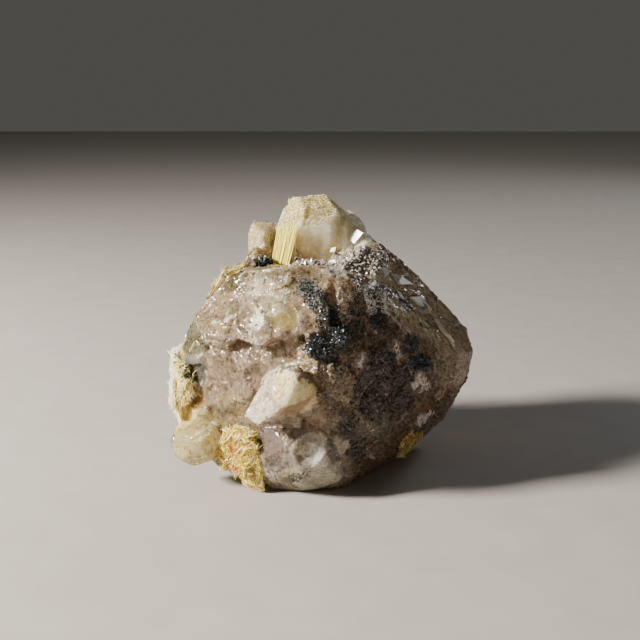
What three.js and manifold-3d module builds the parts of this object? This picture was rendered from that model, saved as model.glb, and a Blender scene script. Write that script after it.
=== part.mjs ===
// A hand-sized piece of rutilated quartz: a rough smoky quartz mass with quartz crystals grown on its top
// and on one lower corner, golden rutile blades lying in seats in the quartz, and black hematite.
// Millimetres, +Z up, -Y is the show side. The origin is the middle of the bounding box, on the ground.
import * as THREE from "three";
import { ConvexGeometry } from "three/addons/geometries/ConvexGeometry.js";
import { mergeVertices } from "three/addons/utils/BufferGeometryUtils.js";
import Module from "manifold-3d";

const wasm = await Module();
wasm.setup();

// ---------------------------------------------------------------- driving dimensions, mm
const SEAT_GAP = 0.3; // clearance between a mineral and the seat it lies in
const MASS_MIDDLE = new THREE.Vector3(0, -1, 22); // where the fracture directions are counted from
const SCOOP_COUNT = 150; // directions in which a shell-shaped fracture hollow is tried
const SCOOP_RADIUS = [5, 12]; // radius of curvature of a hollow, smallest and largest
const SCOOP_BITE = [0.4, 1]; // how deep a hollow goes
const SCOOP_FACET = 4; // length of a facet's side on a hollow
const SCOOP_EXCESS = 2.2; // a hollow that takes this many times its own cap is left out
const FOOT_CLEARANCE = 1.4; // hollows stay this far above the ground
const CRUST_RIM = 13; // corners round the edge of a hematite crust

// Each mineral's colour, and the roughness of its broken face.
const FINISH = {
  quartz: { color: 0xa8968a, roughness: 0.4, metalness: 0 },
  rutile: { color: 0xd8b45c, roughness: 0.35, metalness: 0.1 },
  hematite: { color: 0x202326, roughness: 0.3, metalness: 0.4 },
};

// ---------------------------------------------------------------- small helpers

const UP = new THREE.Vector3(0, 0, 1);
const point = ([x, y, z]) => new THREE.Vector3(x, y, z);

// The turn that takes +Z to a direction.
const turnTo = (along) => new THREE.Quaternion().setFromUnitVectors(UP, point(along).normalize());

// A repeatable number from 0 to 1 for a whole number n.
function chance(n) {
  const wave = Math.sin(n * 127.1 + 311.7) * 43758.5453;
  return wave - Math.floor(wave);
}

// A value between a pair's two ends.
const between = ([low, high], share) => low + (high - low) * share;

// A closed three.js geometry as a manifold solid.
function solidOf(geometry) {
  const shape = geometry.index ? geometry.toNonIndexed() : geometry.clone();
  shape.deleteAttribute("normal");
  shape.deleteAttribute("uv");
  const merged = mergeVertices(shape, 1e-4);
  return new wasm.Manifold(
    new wasm.Mesh({
      numProp: 3,
      vertProperties: merged.attributes.position.array,
      triVerts: new Uint32Array(merged.index.array),
    }),
  );
}

// A manifold solid back as a three.js geometry.
function geometryOf(solid) {
  const mesh = solid.getMesh();
  const geometry = new THREE.BufferGeometry();
  geometry.setAttribute("position", new THREE.BufferAttribute(new Float32Array(mesh.vertProperties), 3));
  geometry.setIndex(new THREE.BufferAttribute(new Uint32Array(mesh.triVerts), 1));
  geometry.computeVertexNormals();
  return geometry;
}

// The convex block whose corners are the given points.
const block = (corners) => solidOf(new ConvexGeometry(corners.map(point)));

const joined = (solids) => solids.reduce((sum, solid) => sum.add(solid));

// The biggest of the bodies that a cut leaves, without the crumbs.
function biggest(solid) {
  const bodies = solid.decompose();
  return bodies.reduce((best, body) => (body.volume() > best.volume() ? body : best));
}

// A geometry spun about its +Z, turned so that +Z runs along a direction, and moved to a place.
function placed(geometry, at, along, spin = 0) {
  const roll = new THREE.Quaternion().setFromAxisAngle(UP, spin);
  const turn = turnTo(along).multiply(roll);
  const matrix = new THREE.Matrix4().compose(point(at), turn, new THREE.Vector3(1, 1, 1));
  return solidOf(geometry.clone().applyMatrix4(matrix));
}

// ---------------------------------------------------------------- the quartz

// The heart of the mass: flat fracture faces between these corners, each picked by hand.
const HEART = [
  [-14.7, -4, 41.4], [-5.7, -7.4, 42.4], [2.1, -8.6, 42.6], [4.3, -8, 41.8], // crest, left to right
  [8.8, -9, 39.6], [14.5, -8, 34.6], [22.9, -2, 26.8], [30.6, 4.5, 23.1], // edge under the right slope
  [4.5, 3, 44.6], [11.4, 4, 45], [15.5, 6, 41.8], // right slope, its top
  [21.7, 6, 35.5], [25.8, 6, 31.2], [29.2, 6, 27], // and its far edge
  [-24.5, -3.6, 31.6], [-20.2, -2.6, 36.4], // upper left shoulder
  [-27.2, -2, 26.2], [-28, 0, 20.5], [-28, 1, 16], [-26.6, -1, 11.6], // left flank
  [-21.4, -9.3, 27.6], [-21.6, -9, 20.4], [-20.3, -9.6, 14.4], // edge between left flank and front
  [0.6, -19.2, 31.2], [-1.7, -19.8, 25.9], [-0.6, -19.2, 21.2], [1.2, -17.3, 14.8], // the front ridge
  [3.4, -13.5, 6.8], [5.8, -10.5, 1.9], [9.4, -7, 2.3], [13.5, -4, 3.1], // its foot
  [17.7, -1, 4.8], [22, 2, 8.1], [26.3, 5, 12], [29.8, 7, 16.1], // lower right edge
  [14.3, -11.2, 29.2], [20.8, -6.4, 19.6], [12.6, -12.8, 21.4], // bulge of the right front face
  [-11, -9, 0], [-4, -10.5, 0], [4.5, -9.6, 0], [19.5, 10.5, 0], [8, 15, 0], [-7, 12, 0], [-13, 3, 0], // foot
  [29.2, 13, 17], [26.4, 13.5, 5], [23.5, 16.5, 26], [13.5, 19.5, 33], [16, 20, 10], // back right
  [0, 20.8, 28], [-2, 20.4, 10], [-11, 18.8, 33.5], [-18, 17, 19], [-15, 14.5, 5.5], // back
  [-25, 9, 27], [-24.5, 8.5, 10.5], [-15.5, 11, 38.5], [2, 15, 40.6], // back left and top
];

// Lumps that stand proud of the heart.
const LUMPS = {
  // The slab of the upper left front, whose lower side is an irregular ledge.
  upperSlab: [
    [-14.7, -4.2, 41.9], [-5.7, -8.2, 43], [1.4, -9.2, 43.2], [1.6, -14.4, 38.4], [1.2, -17.9, 33.9],
    [-4.2, -19.7, 32.6], [-10.7, -18.2, 30.6], [-15.5, -15.2, 30.4], [-21.2, -11.7, 30.4],
    [-24.9, -4.2, 32.2], [-20.4, -3, 37], [-12.7, -14.4, 36.2], [-6, -15.8, 37], [-12, 0, 34],
    [0, -2, 36],
  ],
  // A second, thinner slab that laps over the first by the crest.
  crestSlab: [
    [-17.5, -4.6, 40.4], [-11.6, -7.2, 42.4], [-3.4, -9.8, 43.3], [-5.6, -12.9, 40.4], [-11.2, -12.4, 38.6],
    [-16.4, -9.4, 37.6], [-12, -2, 38],
  ],
  // Lumps that make the ledge's edge uneven, left to right.
  ledgeLeft: [
    [-22, -10.2, 31.5], [-20, -9.9, 33.7], [-16.3, -13.5, 33.9], [-14.7, -15.7, 31.5], [-17, -13.4, 28.2],
    [-20.5, -10.4, 28.6], [-16.1, -7.2, 28.9],
  ],
  ledgeMiddle: [
    [-13.4, -14.9, 34.3], [-10.9, -15.2, 36.2], [-8.6, -17.7, 34.7], [-8.6, -18.5, 31.8], [-11, -16.4, 29],
    [-12.9, -17.5, 31.3], [-10.9, -17.9, 33.7], [-8.5, -11.9, 30.6],
  ],
  ledgeRight: [
    [-7.9, -18.3, 33.7], [-5.7, -17.2, 35.6], [-3.4, -18.8, 34.2], [-3.9, -18.6, 31.3], [-6.4, -18.2, 30.2],
    [-5.7, -19, 33.6], [-4.3, -12.8, 30.7],
  ],
  // The square grainy face below the ledge.
  squareFace: [
    [-21.8, -9.5, 26.8], [-15.9, -12.8, 27.8], [-11, -15.6, 26.4], [-11.9, -15.1, 21.7], [-14.7, -13.2, 16.8],
    [-19, -10.5, 15.4], [-22, -7.6, 17.2], [-16.6, -13, 22.6], [-13.2, -6.3, 21.6],
  ],
  // Left flank: two low blocks with a hollow between them.
  flankUpper: [
    [-27.6, -2.4, 26.4], [-24.6, -6.6, 29.6], [-21.4, -10.4, 28.4], [-21.7, -10.2, 24.8], [-25.6, -6.2, 23.2],
    [-28.4, -1.6, 22.6], [-23, 2, 26],
  ],
  flankLower: [
    [-21.4, -10.4, 16.8], [-20.2, -10.9, 13.2], [-24.4, -7.2, 10.4], [-27, -3, 10.6], [-26.8, -2.6, 14.6],
    [-22, -2, 14],
  ],
  // The back: a blunt slab and a low shelf.
  backSlab: [
    [-14, 18.6, 33], [-3, 20.9, 31], [4, 20.6, 36], [-4, 16, 40.4], [-13, 14, 38.6], [-6, 12, 34],
    [-9, 20.4, 26],
  ],
  backShelf: [
    [12, 20.7, 24], [20.6, 18.4, 22], [23.6, 15.8, 12], [14, 20.4, 9], [6, 20.9, 14], [14, 12, 16],
    [22.4, 14, 24],
  ],
  // Behind and left of the crest, a low block that carries a rutile edge.
  shoulderBlock: [
    [-20.6, 2.6, 35.4], [-18.1, 3.4, 39.4], [-14.6, 2.4, 41.2], [-12, 8, 41], [-17, 11, 38.4],
    [-21.4, 8.4, 33], [-13, 1.6, 36], [-19.6, 0.4, 33],
  ],
  // Flakes lying on the right slope, and the rib along its edge.
  slopeFlakeUpper: [
    [8.3, -6.2, 41.7], [10, -4.8, 42.2], [12.2, -3.1, 41.1], [13.6, -2.8, 38.7], [10.8, -8.1, 39.3],
    [8.5, -8.5, 40.3], [7.4, -2.1, 37.4],
  ],
  slopeFlakeLower: [
    [17, -2.4, 35.9], [19.9, -0.5, 35.1], [21.6, -0.7, 33.4], [21, -3.1, 32.4], [18, -4.5, 33.3],
    [16.2, 1.3, 30.8],
  ],
  slopeRib: [
    [21.8, -2.6, 32], [23.4, -1.2, 31.3], [27.5, 1.6, 25.8], [27, 0.6, 24.9], [24.2, -1.6, 28.2],
    [21.5, 2.9, 25.2],
  ],
};

// Hollows put in by hand: a place on the surface, the ball's radius and where its centre stands.
const HOLLOWS = [
  { ball: 5.2, centre: [10.6, -17.4, 36.6] }, // brown pocket right of the ridge
  { ball: 2.6, centre: [-27.2, -6.4, 29.2] }, // small pit at the left outline
  { ball: 1.9, centre: [-24.6, -9.6, 15.4] }, // dark socket in the left flank
  { ball: 4.2, centre: [-14.6, -19.6, 27.6] }, // under the ledge of the upper slab
  { ball: 3, centre: [-5.2, -21.8, 16.2] }, // under the cleavage wedge
  { ball: 7, centre: [11, -20.4, 14.4] }, // lower right face
  { ball: 5, centre: [29.6, -2.4, 14.6] }, // notch above the lower right edge
  { ball: 4, centre: [-17.4, -13.2, 0.4] }, // arch under the left corner
  { ball: 6, centre: [20, -7, -1.4] }, // undercut on the right
];

// A quartz crystal: a six-sided prism cut by six sloping tip faces. A seventh cut can break the tip off.
// Each entry of tips is the height at which that face would meet the axis, so a low one makes a big face.
// The faces go anticlockwise from +X, before the spin. A break has a height on the axis and a facing.
function crystal({ radius, flat = 1, length, tips, broken, at, along, spin }) {
  const prism = new THREE.CylinderGeometry(radius, radius, length, 6).rotateX(Math.PI / 2);
  prism.translate(0, 0, length / 2).rotateZ(spin).scale(1, flat, 1);
  let solid = solidOf(prism);
  const slope = THREE.MathUtils.degToRad(51.8); // a rhombohedral face leans this far from level
  tips.forEach((height, side) => {
    const turn = spin + (side * Math.PI) / 3;
    const inward = [-Math.sin(slope) * Math.cos(turn), -Math.sin(slope) * Math.sin(turn), -Math.cos(slope)];
    solid = solid.trimByPlane(inward, -Math.cos(slope) * height);
  });
  if (broken) {
    const up = point(broken.facing).normalize();
    solid = solid.trimByPlane([-up.x, -up.y, -up.z], -up.z * broken.height);
  }
  return placed(geometryOf(solid), at, along);
}

// The crystals that grew on the mass.
const CRYSTALS = [
  { // tall crystal of the top, its tip cut short
    radius: 6.2, flat: 0.88, length: 28, tips: [28.6, 30.4, 23.4, 32, 30, 26.6],
    broken: { height: 23.9, facing: [-0.24, 0.1, 1] },
    at: [-4.8, 7.4, 30], along: [0.1, 0.02, 1], spin: -0.09,
  },
  { // short crystal on its left, its tip broken off
    radius: 3.9, flat: 0.9, length: 20, tips: [20.6, 22, 23, 22, 20.2, 21.6],
    broken: { height: 17.6, facing: [0.16, -0.2, 1] },
    at: [-11.6, 9.4, 30], along: [0.04, -0.02, 1], spin: -0.16,
  },
  { // low one in front of the gap between them
    radius: 2.6, flat: 0.9, length: 14, tips: [13.4, 14.8, 15, 14.2, 13.2, 12.6],
    at: [-13.4, 5.6, 30.6], along: [0.06, -0.08, 1], spin: 0.2,
  },
  { // smoky crystal on its right
    radius: 4.8, flat: 0.9, length: 22, tips: [19, 21.4, 22.4, 22.8, 22, 20],
    broken: { height: 18.6, facing: [0.42, -0.3, 1] },
    at: [4.6, 9.2, 31], along: [0.06, 0.02, 1], spin: 0.1,
  },
  { // blunt one between it and the right slope
    radius: 3.4, flat: 0.9, length: 14, tips: [14, 15, 15.4, 15, 14, 13.2],
    broken: { height: 12.6, facing: [0.6, -0.3, 1] },
    at: [8, 6.2, 33.4], along: [0.08, -0.06, 1], spin: 0.4,
  },
  { // behind the tall one
    radius: 4.4, flat: 0.9, length: 18, tips: [18.4, 17, 18.2, 19.4, 20, 19.6],
    at: [-4.6, 13.2, 28.4], along: [-0.1, 0.2, 1], spin: 0.2,
  },
  { // two that lean out of the back
    radius: 4.4, flat: 0.85, length: 16, tips: [15.6, 17.4, 15.2, 16.4, 17, 17.8],
    at: [-12.4, 11.4, 21.6], along: [-0.5, 0.62, 0.66], spin: 0.3,
  },
  {
    radius: 3.6, flat: 0.9, length: 14, tips: [13, 13.8, 14.6, 14.2, 15, 13.8],
    at: [11.6, 12, 26], along: [0.34, 0.56, 0.78], spin: 0.1,
  },
];

// Lumps of the lower front, which the hollows leave alone.
const FRONT_LUMPS = {
  // The pale cleavage wedge in the middle of the front.
  cleavageWedge: [
    [-3.7, -21.2, 28.5], [-9.6, -18.9, 25.6], [-1.4, -21, 22.9], [-11.5, -19.4, 16.2], [-14.2, -17.7, 17.2],
    [-6.3, -22, 21], [-5.4, -18.6, 17.1], [-4.4, -21.9, 25.6], [-6, -12, 23], [-9, -10, 20],
  ],
  // Its amber right half, a step lower.
  wedgeStep: [
    [-3, -20.9, 26.8], [0.4, -20.4, 22.4], [-1, -20, 18.6], [-5.6, -19.2, 16.6], [-4.8, -21, 21.6],
    [-2, -12, 22],
  ],
  // Brown lens right of the ridge's head.
  brownLens: [
    [3, -10.8, 40.5], [4.5, -9.3, 41.9], [6.1, -8, 41.4], [7.5, -10.6, 39.2], [7.3, -12.8, 35.1],
    [4.7, -16.4, 32.7], [2.7, -15.7, 35.3], [5.5, -13.6, 37.7], [3.1, -6.7, 34.6],
  ],
  // Tan bump right of the wedge.
  tanBump: [
    [1.1, -19.7, 28], [4.1, -17.7, 27.6], [6.7, -16.2, 23.6], [5.8, -16.3, 19.4], [2.2, -17.8, 18.6],
    [3.5, -18.2, 23.7], [1.1, -10.3, 23.1],
  ],
  // Three low swells of the dark right face, from above to below.
  rightSwellUpper: [
    [9.3, -14.6, 29.7], [13.1, -12.1, 30], [14.9, -10.9, 26.2], [13.2, -12.4, 22.8], [9.2, -14.7, 24.7],
    [11.9, -13.3, 26.8], [8.1, -6.5, 25.9],
  ],
  rightSwellMiddle: [
    [15.7, -10.1, 23.1], [20.5, -6.6, 24], [23.5, -3.2, 18.3], [20.7, -3.2, 14.1], [16.7, -9, 17.6],
    [19.5, -9, 20.2], [14.8, -0.7, 19.6],
  ],
  rightSwellLower: [
    [6.9, -15.2, 17.4], [12.1, -11.2, 16.9], [15.4, -7.2, 11.3], [11.9, -8.5, 7.6], [7.9, -12.8, 10.5],
    [11, -12.5, 13], [7, -5, 15.1],
  ],
  // Thin lip of the lower right edge.
  rightLip: [
    [23.1, -1.3, 14.8], [26.1, -0.9, 20.1], [30, 3.8, 20.7], [30.1, 6, 16.6], [27.2, 6.9, 10.6],
    [24, 1.4, 11.3], [22.6, 7.9, 16.4],
  ],
  // The rounded grey lobe that the piece stands on.
  lowerLobe: [
    [-11.6, -14.6, 13.4], [-4, -17.4, 15.6], [0.4, -17.6, 14.2], [2.6, -17, 11.2], [4.6, -13.6, 5],
    [4.4, -10.2, 0], [-3.8, -11.8, 0], [-9.6, -10.6, 0], [-12.2, -12.2, 3.2], [-12.9, -14, 8.6],
    [-9.6, -16.8, 10.6], [-3.6, -18.9, 10.4], [-0.4, -17.6, 6.6], [-6.6, -16.6, 5.4], [-2, -6, 8],
    [-8, -5, 9],
  ],
  // The yellowish knob at the lower left.
  leftKnob: [
    [-26.4, -12.2, 11.1], [-21.9, -13.6, 11.2], [-20.3, -13.3, 9], [-20.9, -13.4, 6.9], [-24.2, -12.7, 5.4],
    [-27, -11.7, 6.8], [-29.2, -7.6, 8.2], [-28.2, -6.2, 11.4], [-24.4, -6.8, 13], [-20, -8.6, 12],
    [-19.4, -9.4, 6.4], [-24, -8.2, 4.2], [-28.2, -7.8, 5.4], [-16, -3, 9],
  ],
  // Shelf that ties the knob to the mass, under the spray.
  knobShelf: [
    [-22, -10.4, 8.6], [-20, -11, 5], [-14, -10.6, 3.4], [-12, -8, 1], [-20, -6, 4], [-14, -12, 9],
    [-12, -6, 12],
  ],
};

// Small blunt crystals in a patch: the druse beside the tall crystal's foot.
const DRUSE = {
  count: 16, middle: [6.2, -2.4, 43], spread: [4.6, 4.6],
  radius: [0.7, 1.5], rise: [0.2, 0.8], sunk: 2,
};

// Where a ray from far outside towards the middle of the mass meets it.
function surfaceAt(mesh, direction) {
  const far = MASS_MIDDLE.clone().addScaledVector(direction, 100);
  const ray = new THREE.Raycaster(far, direction.clone().negate());
  return ray.intersectObject(mesh)[0];
}

// Shell-shaped hollows all round, at directions spread evenly over a ball.
function conchoidalScoops(mass) {
  const mesh = new THREE.Mesh(geometryOf(mass), new THREE.MeshBasicMaterial());
  const goldenAngle = Math.PI * (3 - Math.sqrt(5));
  const scoops = [];
  for (let n = 0; n < SCOOP_COUNT; n++) {
    const height = 1 - (2 * (n + 0.5)) / SCOOP_COUNT;
    const turn = n * goldenAngle + chance(n) * 0.5;
    const ring = Math.sqrt(1 - height * height);
    const direction = new THREE.Vector3(ring * Math.cos(turn), ring * Math.sin(turn), height);
    if (direction.y > 0.1 && n % 3 > 0) continue; // the back is plainer
    const hit = surfaceAt(mesh, direction);
    if (!hit || hit.point.z < FOOT_CLEARANCE) continue;
    const radius = between(SCOOP_RADIUS, chance(n + 200));
    const bite = between(SCOOP_BITE, chance(n + 400));
    const centre = hit.point.clone().addScaledVector(hit.face.normal, radius - bite);
    const detail = Math.round(radius / SCOOP_FACET);
    const ball = solidOf(new THREE.IcosahedronGeometry(radius, detail).translate(...centre));
    const cap = (Math.PI * bite * bite * (3 * radius - bite)) / 3;
    if (mass.intersect(ball).volume() < SCOOP_EXCESS * cap) scoops.push(ball);
  }
  return scoops;
}

// The druse's small crystals, each sunk into the face below it.
function druseCrystals(mass) {
  const mesh = new THREE.Mesh(geometryOf(mass), new THREE.MeshBasicMaterial());
  const made = [];
  for (let n = 0; n < DRUSE.count; n++) {
    const across = (chance(n + 31) - 0.5) * 2 * DRUSE.spread[0];
    const deep = (chance(n + 67) - 0.5) * 2 * DRUSE.spread[1];
    const above = new THREE.Vector3(DRUSE.middle[0] + across, DRUSE.middle[1] + deep, 90);
    const hit = new THREE.Raycaster(above, new THREE.Vector3(0, 0, -1)).intersectObject(mesh)[0];
    if (!hit) continue;
    const radius = between(DRUSE.radius, chance(n + 90));
    const rise = between(DRUSE.rise, chance(n + 120));
    const along = hit.face.normal.clone().add(new THREE.Vector3(chance(n) - 0.5, chance(n + 7) - 0.5, 0.3));
    const root = hit.point.clone().addScaledVector(along.normalize(), -DRUSE.sunk);
    const length = DRUSE.sunk + rise;
    const tipHeight = (side) => length + radius * between([0.1, 0.7], chance(n * 6 + side));
    const tips = [0, 1, 2, 3, 4, 5].map(tipHeight);
    made.push(crystal({ radius, length, tips, at: root.toArray(), along: along.toArray(), spin: n }));
  }
  return made;
}

function quartzMass() {
  let mass = joined([block(HEART), ...Object.values(LUMPS).map(block)]);
  for (const { ball, centre } of HOLLOWS) {
    const hollow = new THREE.IcosahedronGeometry(ball, Math.round(ball / 2));
    mass = mass.subtract(solidOf(hollow.translate(...centre)));
  }
  for (const scoop of conchoidalScoops(mass)) mass = mass.subtract(scoop);
  mass = joined([mass, ...Object.values(FRONT_LUMPS).map(block), ...druseCrystals(mass), ...CRYSTALS.map(crystal)]);
  return biggest(mass.trimByPlane([0, 0, 1], 0));
}

// ---------------------------------------------------------------- the rutile

// One flat rutile blade between two points. It is wide across `flatTowards`, thin along it, and tapers.
// `grow` makes it bigger all round, for the seat that it lies in.
function blade({ from, to, width, tip = 0.4, thickness, flatTowards }, grow = 0) {
  const start = point(from);
  const end = point(to);
  const along = end.clone().sub(start).normalize();
  const out = point(flatTowards);
  out.addScaledVector(along, -out.dot(along)).normalize();
  const across = new THREE.Vector3().crossVectors(along, out);
  start.addScaledVector(along, -grow);
  end.addScaledVector(along, grow);
  const corners = [];
  for (const [centre, share] of [[start, 1], [end, tip]]) {
    const halfWidth = (width / 2) * share + grow;
    const halfThick = (thickness / 2) * Math.max(share, 0.6) + grow;
    for (const [u, v] of [[-1, -1], [1, -1], [1, 1], [-1, 1]]) {
      const corner = centre.clone().addScaledVector(across, u * halfWidth);
      corners.push(corner.addScaledVector(out, v * halfThick).toArray());
    }
  }
  return block(corners);
}

// A sheaf: blades side by side from a root line to a tip line, each a little out of step with the last.
function sheafBlades({ rootA, rootB, tipA, tipB, count, width, thickness, flatTowards, stagger, seed }) {
  const blades = [];
  for (let n = 0; n < count; n++) {
    const share = count === 1 ? 0.5 : n / (count - 1);
    const root = point(rootA).lerp(point(rootB), share);
    const tip = point(tipA).lerp(point(tipB), share);
    const along = tip.clone().sub(root);
    tip.addScaledVector(along, (chance(seed + n) - 0.5) * stagger);
    root.addScaledVector(along, (chance(seed + n + 50) - 0.5) * stagger * 0.5);
    const lift = point(flatTowards).setLength((chance(seed + n + 90) - 0.5) * thickness * 0.5);
    blades.push({
      from: root.add(lift).toArray(),
      to: tip.add(lift).toArray(),
      width: width * between([0.9, 1.3], chance(seed + n + 20)),
      thickness,
      flatTowards,
    });
  }
  return blades;
}

// Each rutile mass is one or more sheaves grown together.
const RUTILE = {
  // parallel blades up the left face of the tall crystal
  rutile_tall_crystal_blades: [
    {
      rootA: [-8.5, 4.4, 38.4], rootB: [-5.2, 2.4, 38.4],
      tipA: [-8.1, 5.1, 49.4], tipB: [-4.9, 3.1, 50.2],
      count: 6, width: 0.8, thickness: 1.3, flatTowards: [-0.57, -0.82, 0], stagger: 0.16, seed: 3,
    },
  ],
  // bright edge of the shoulder block
  rutile_shoulder_edge: [
    {
      rootA: [-14.4, 2.6, 40.9], rootB: [-14.6, 3.8, 40.7],
      tipA: [-18.6, 3.2, 39.4], tipB: [-18.6, 4.6, 39.2],
      count: 2, width: 1.3, thickness: 1.1, flatTowards: [-0.3, 0, 1], stagger: 0.1, seed: 11,
    },
    {
      rootA: [-18.3, 2.6, 39.8], rootB: [-18.5, 4, 39.6],
      tipA: [-21.9, 2, 34.4], tipB: [-22.3, 3.6, 34.2],
      count: 2, width: 1.3, thickness: 1.1, flatTowards: [-1, 0, 0.7], stagger: 0.1, seed: 17,
    },
  ],
  // matted sheaves down the left flank
  rutile_left_mat: [
    {
      rootA: [-27.6, -4.4, 15.4], rootB: [-28.6, 2.4, 16.4],
      tipA: [-27.6, -3.2, 24.8], tipB: [-28.3, 0.8, 24.2],
      count: 5, width: 2, thickness: 2, flatTowards: [-1, -0.4, 0], stagger: 0.2, seed: 23,
    },
    {
      rootA: [-24.6, -7.3, 20.2], rootB: [-26.4, -6.4, 22.2],
      tipA: [-27.6, -4.2, 14.4], tipB: [-28.6, -1.8, 15.6],
      count: 4, width: 1.9, thickness: 1.8, flatTowards: [-0.7, -0.7, 0], stagger: 0.16, seed: 31,
    },
    {
      rootA: [-27.5, -3.8, 16.6], rootB: [-28.4, 0.4, 17],
      tipA: [-26.1, -4.3, 9.6], tipB: [-26.9, -1.6, 9.2],
      count: 3, width: 2, thickness: 1.8, flatTowards: [-1, -0.5, -0.2], stagger: 0.16, seed: 37,
    },
  ],
  // bent sprays between the knob and the lower lobe
  rutile_foot_spray: [
    {
      rootA: [-16.6, -11.4, 12.4], rootB: [-14, -13.4, 12.6],
      tipA: [-18.4, -10.6, 4.6], tipB: [-14.2, -12.6, 4.2],
      count: 4, width: 1.9, thickness: 1.9, flatTowards: [-0.3, -1, 0], stagger: 0.2, seed: 41,
    },
    {
      rootA: [-14.6, -13.4, 11.6], rootB: [-12.8, -14.6, 10.8],
      tipA: [-14.4, -10.6, 1.4], tipB: [-11.6, -12.2, 1],
      count: 3, width: 1.7, thickness: 1.7, flatTowards: [-0.2, -1, 0], stagger: 0.14, seed: 47,
    },
  ],
  // thin sliver in the lower right edge
  rutile_right_sliver: [
    {
      rootA: [19.9, 0.1, 6.9], rootB: [19.9, 0.1, 6.9],
      tipA: [15.3, -2.9, 3.6], tipB: [15.3, -2.9, 3.6],
      count: 1, width: 1.3, thickness: 0.9, flatTowards: [0.4, -0.8, -0.5], stagger: 0, seed: 53,
    },
  ],
};

const rutileMass = (sheaves, grow = 0) =>
  joined(sheaves.flatMap(sheafBlades).map((shape) => blade(shape, grow)));

// ---------------------------------------------------------------- the hematite

// A rosette: six-sided plates through one middle, at several tilts.
function rosette({ radius, thickness, middle, tilts }, grow = 0) {
  const plate = new THREE.CylinderGeometry(radius + grow, radius + grow, thickness + 2 * grow, 6);
  plate.rotateX(Math.PI / 2);
  return joined(tilts.map((normal, n) => placed(plate, middle, normal, n * 0.4)));
}

// A crust's middle and facing: where a line from the show side meets the quartz.
function seatedCrust(shape, quartzMesh) {
  const ray = new THREE.Raycaster(point([shape.across, -80, shape.up]), new THREE.Vector3(0, 1, 0));
  const hit = ray.intersectObject(quartzMesh)[0];
  const normal = point(shape.facing).normalize();
  const middle = hit.point.addScaledVector(normal, -shape.sunk);
  return { ...shape, normal: normal.toArray(), middle: middle.toArray() };
}

// A crust: low six-sided grains strewn over a patch, on a thin bed with an uneven rim that joins them.
function crust({ middle, normal, radii, thickness, grains, grainRadius, seed }, grow = 0) {
  const [long, short] = radii;
  const disc = new THREE.CylinderGeometry(1, 1, thickness + 2 * grow, CRUST_RIM).rotateX(Math.PI / 2);
  const rim = disc.attributes.position;
  for (let n = 0; n < rim.count; n++) {
    const angle = Math.atan2(rim.getY(n), rim.getX(n));
    const corner = Math.round((angle * CRUST_RIM) / (2 * Math.PI)) + CRUST_RIM;
    const reach = between([0.72, 1.06], chance(seed + (corner % CRUST_RIM)));
    rim.setX(n, rim.getX(n) * (long * reach + grow));
    rim.setY(n, rim.getY(n) * (short * reach + grow));
  }
  const bed = placed(disc, middle, normal);
  const turn = turnTo(normal);
  const parts = [bed];
  for (let n = 0; n < grains; n++) {
    const away = Math.sqrt(chance(seed + n)) * 0.86;
    const angle = chance(seed + n + 40) * 2 * Math.PI;
    const offset = new THREE.Vector3(Math.cos(angle) * long, Math.sin(angle) * short, 0);
    offset.multiplyScalar(away).setZ(thickness * 0.4);
    const at = offset.applyQuaternion(turn).add(point(middle)).toArray();
    const size = between(grainRadius, chance(seed + n + 80)) + grow;
    const grain = new THREE.CylinderGeometry(size * 0.7, size, size + grow, 6).rotateX(Math.PI / 2);
    const lean = point(normal).add(new THREE.Vector3(chance(n) - 0.5, 0, chance(n + 9) - 0.5)).toArray();
    parts.push(placed(grain, at, lean, n));
  }
  return joined(parts);
}

const ROSETTE = {
  radius: 1.5, thickness: 0.7, middle: [-11.3, 2.4, 41.7],
  tilts: [[0.2, -0.5, 1], [1, -0.3, 0.3], [-0.6, -1, 0.2]],
};

const CRUSTS = {
  hematite_front_crust: {
    across: 0.9, up: 31.4, facing: [0.12, -0.96, 0.24], radii: [4, 2.7], thickness: 1.1, sunk: 0.35,
    grains: 9, grainRadius: [0.5, 0.95], seed: 5,
  },
  hematite_right_crust: {
    across: 18.4, up: 24.2, facing: [0.55, -0.8, 0.2], radii: [2.2, 1.5], thickness: 1.1, sunk: 0.2,
    grains: 5, grainRadius: [0.4, 0.8], seed: 61,
  },
};

// ---------------------------------------------------------------- the specimen

const specimen = new THREE.Group();
specimen.name = "rutilated_quartz";

function addNode(name, solid, finish) {
  const mesh = new THREE.Mesh(geometryOf(solid), new THREE.MeshStandardMaterial(FINISH[finish]));
  mesh.name = name;
  specimen.add(mesh);
}

let quartz = quartzMass();
for (const sheaves of Object.values(RUTILE)) quartz = quartz.subtract(rutileMass(sheaves, SEAT_GAP));
quartz = quartz.subtract(rosette(ROSETTE, SEAT_GAP));
const quartzMesh = new THREE.Mesh(geometryOf(quartz), new THREE.MeshBasicMaterial());
const crusts = Object.entries(CRUSTS).map(([name, shape]) => [name, seatedCrust(shape, quartzMesh)]);
for (const [, shape] of crusts) quartz = quartz.subtract(crust(shape, SEAT_GAP));
addNode("quartz", biggest(quartz), "quartz");
for (const [name, sheaves] of Object.entries(RUTILE)) addNode(name, rutileMass(sheaves), "rutile");
addNode("hematite_rosette", rosette(ROSETTE), "hematite");
for (const [name, shape] of crusts) addNode(name, crust(shape), "hematite");

// The origin goes to the middle of the bounding box, on the ground.
const bounds = new THREE.Box3().setFromObject(specimen);
const middle = bounds.getCenter(new THREE.Vector3());
specimen.children.forEach((mesh) => mesh.position.set(-middle.x, -middle.y, -bounds.min.z));

export default specimen;
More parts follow.
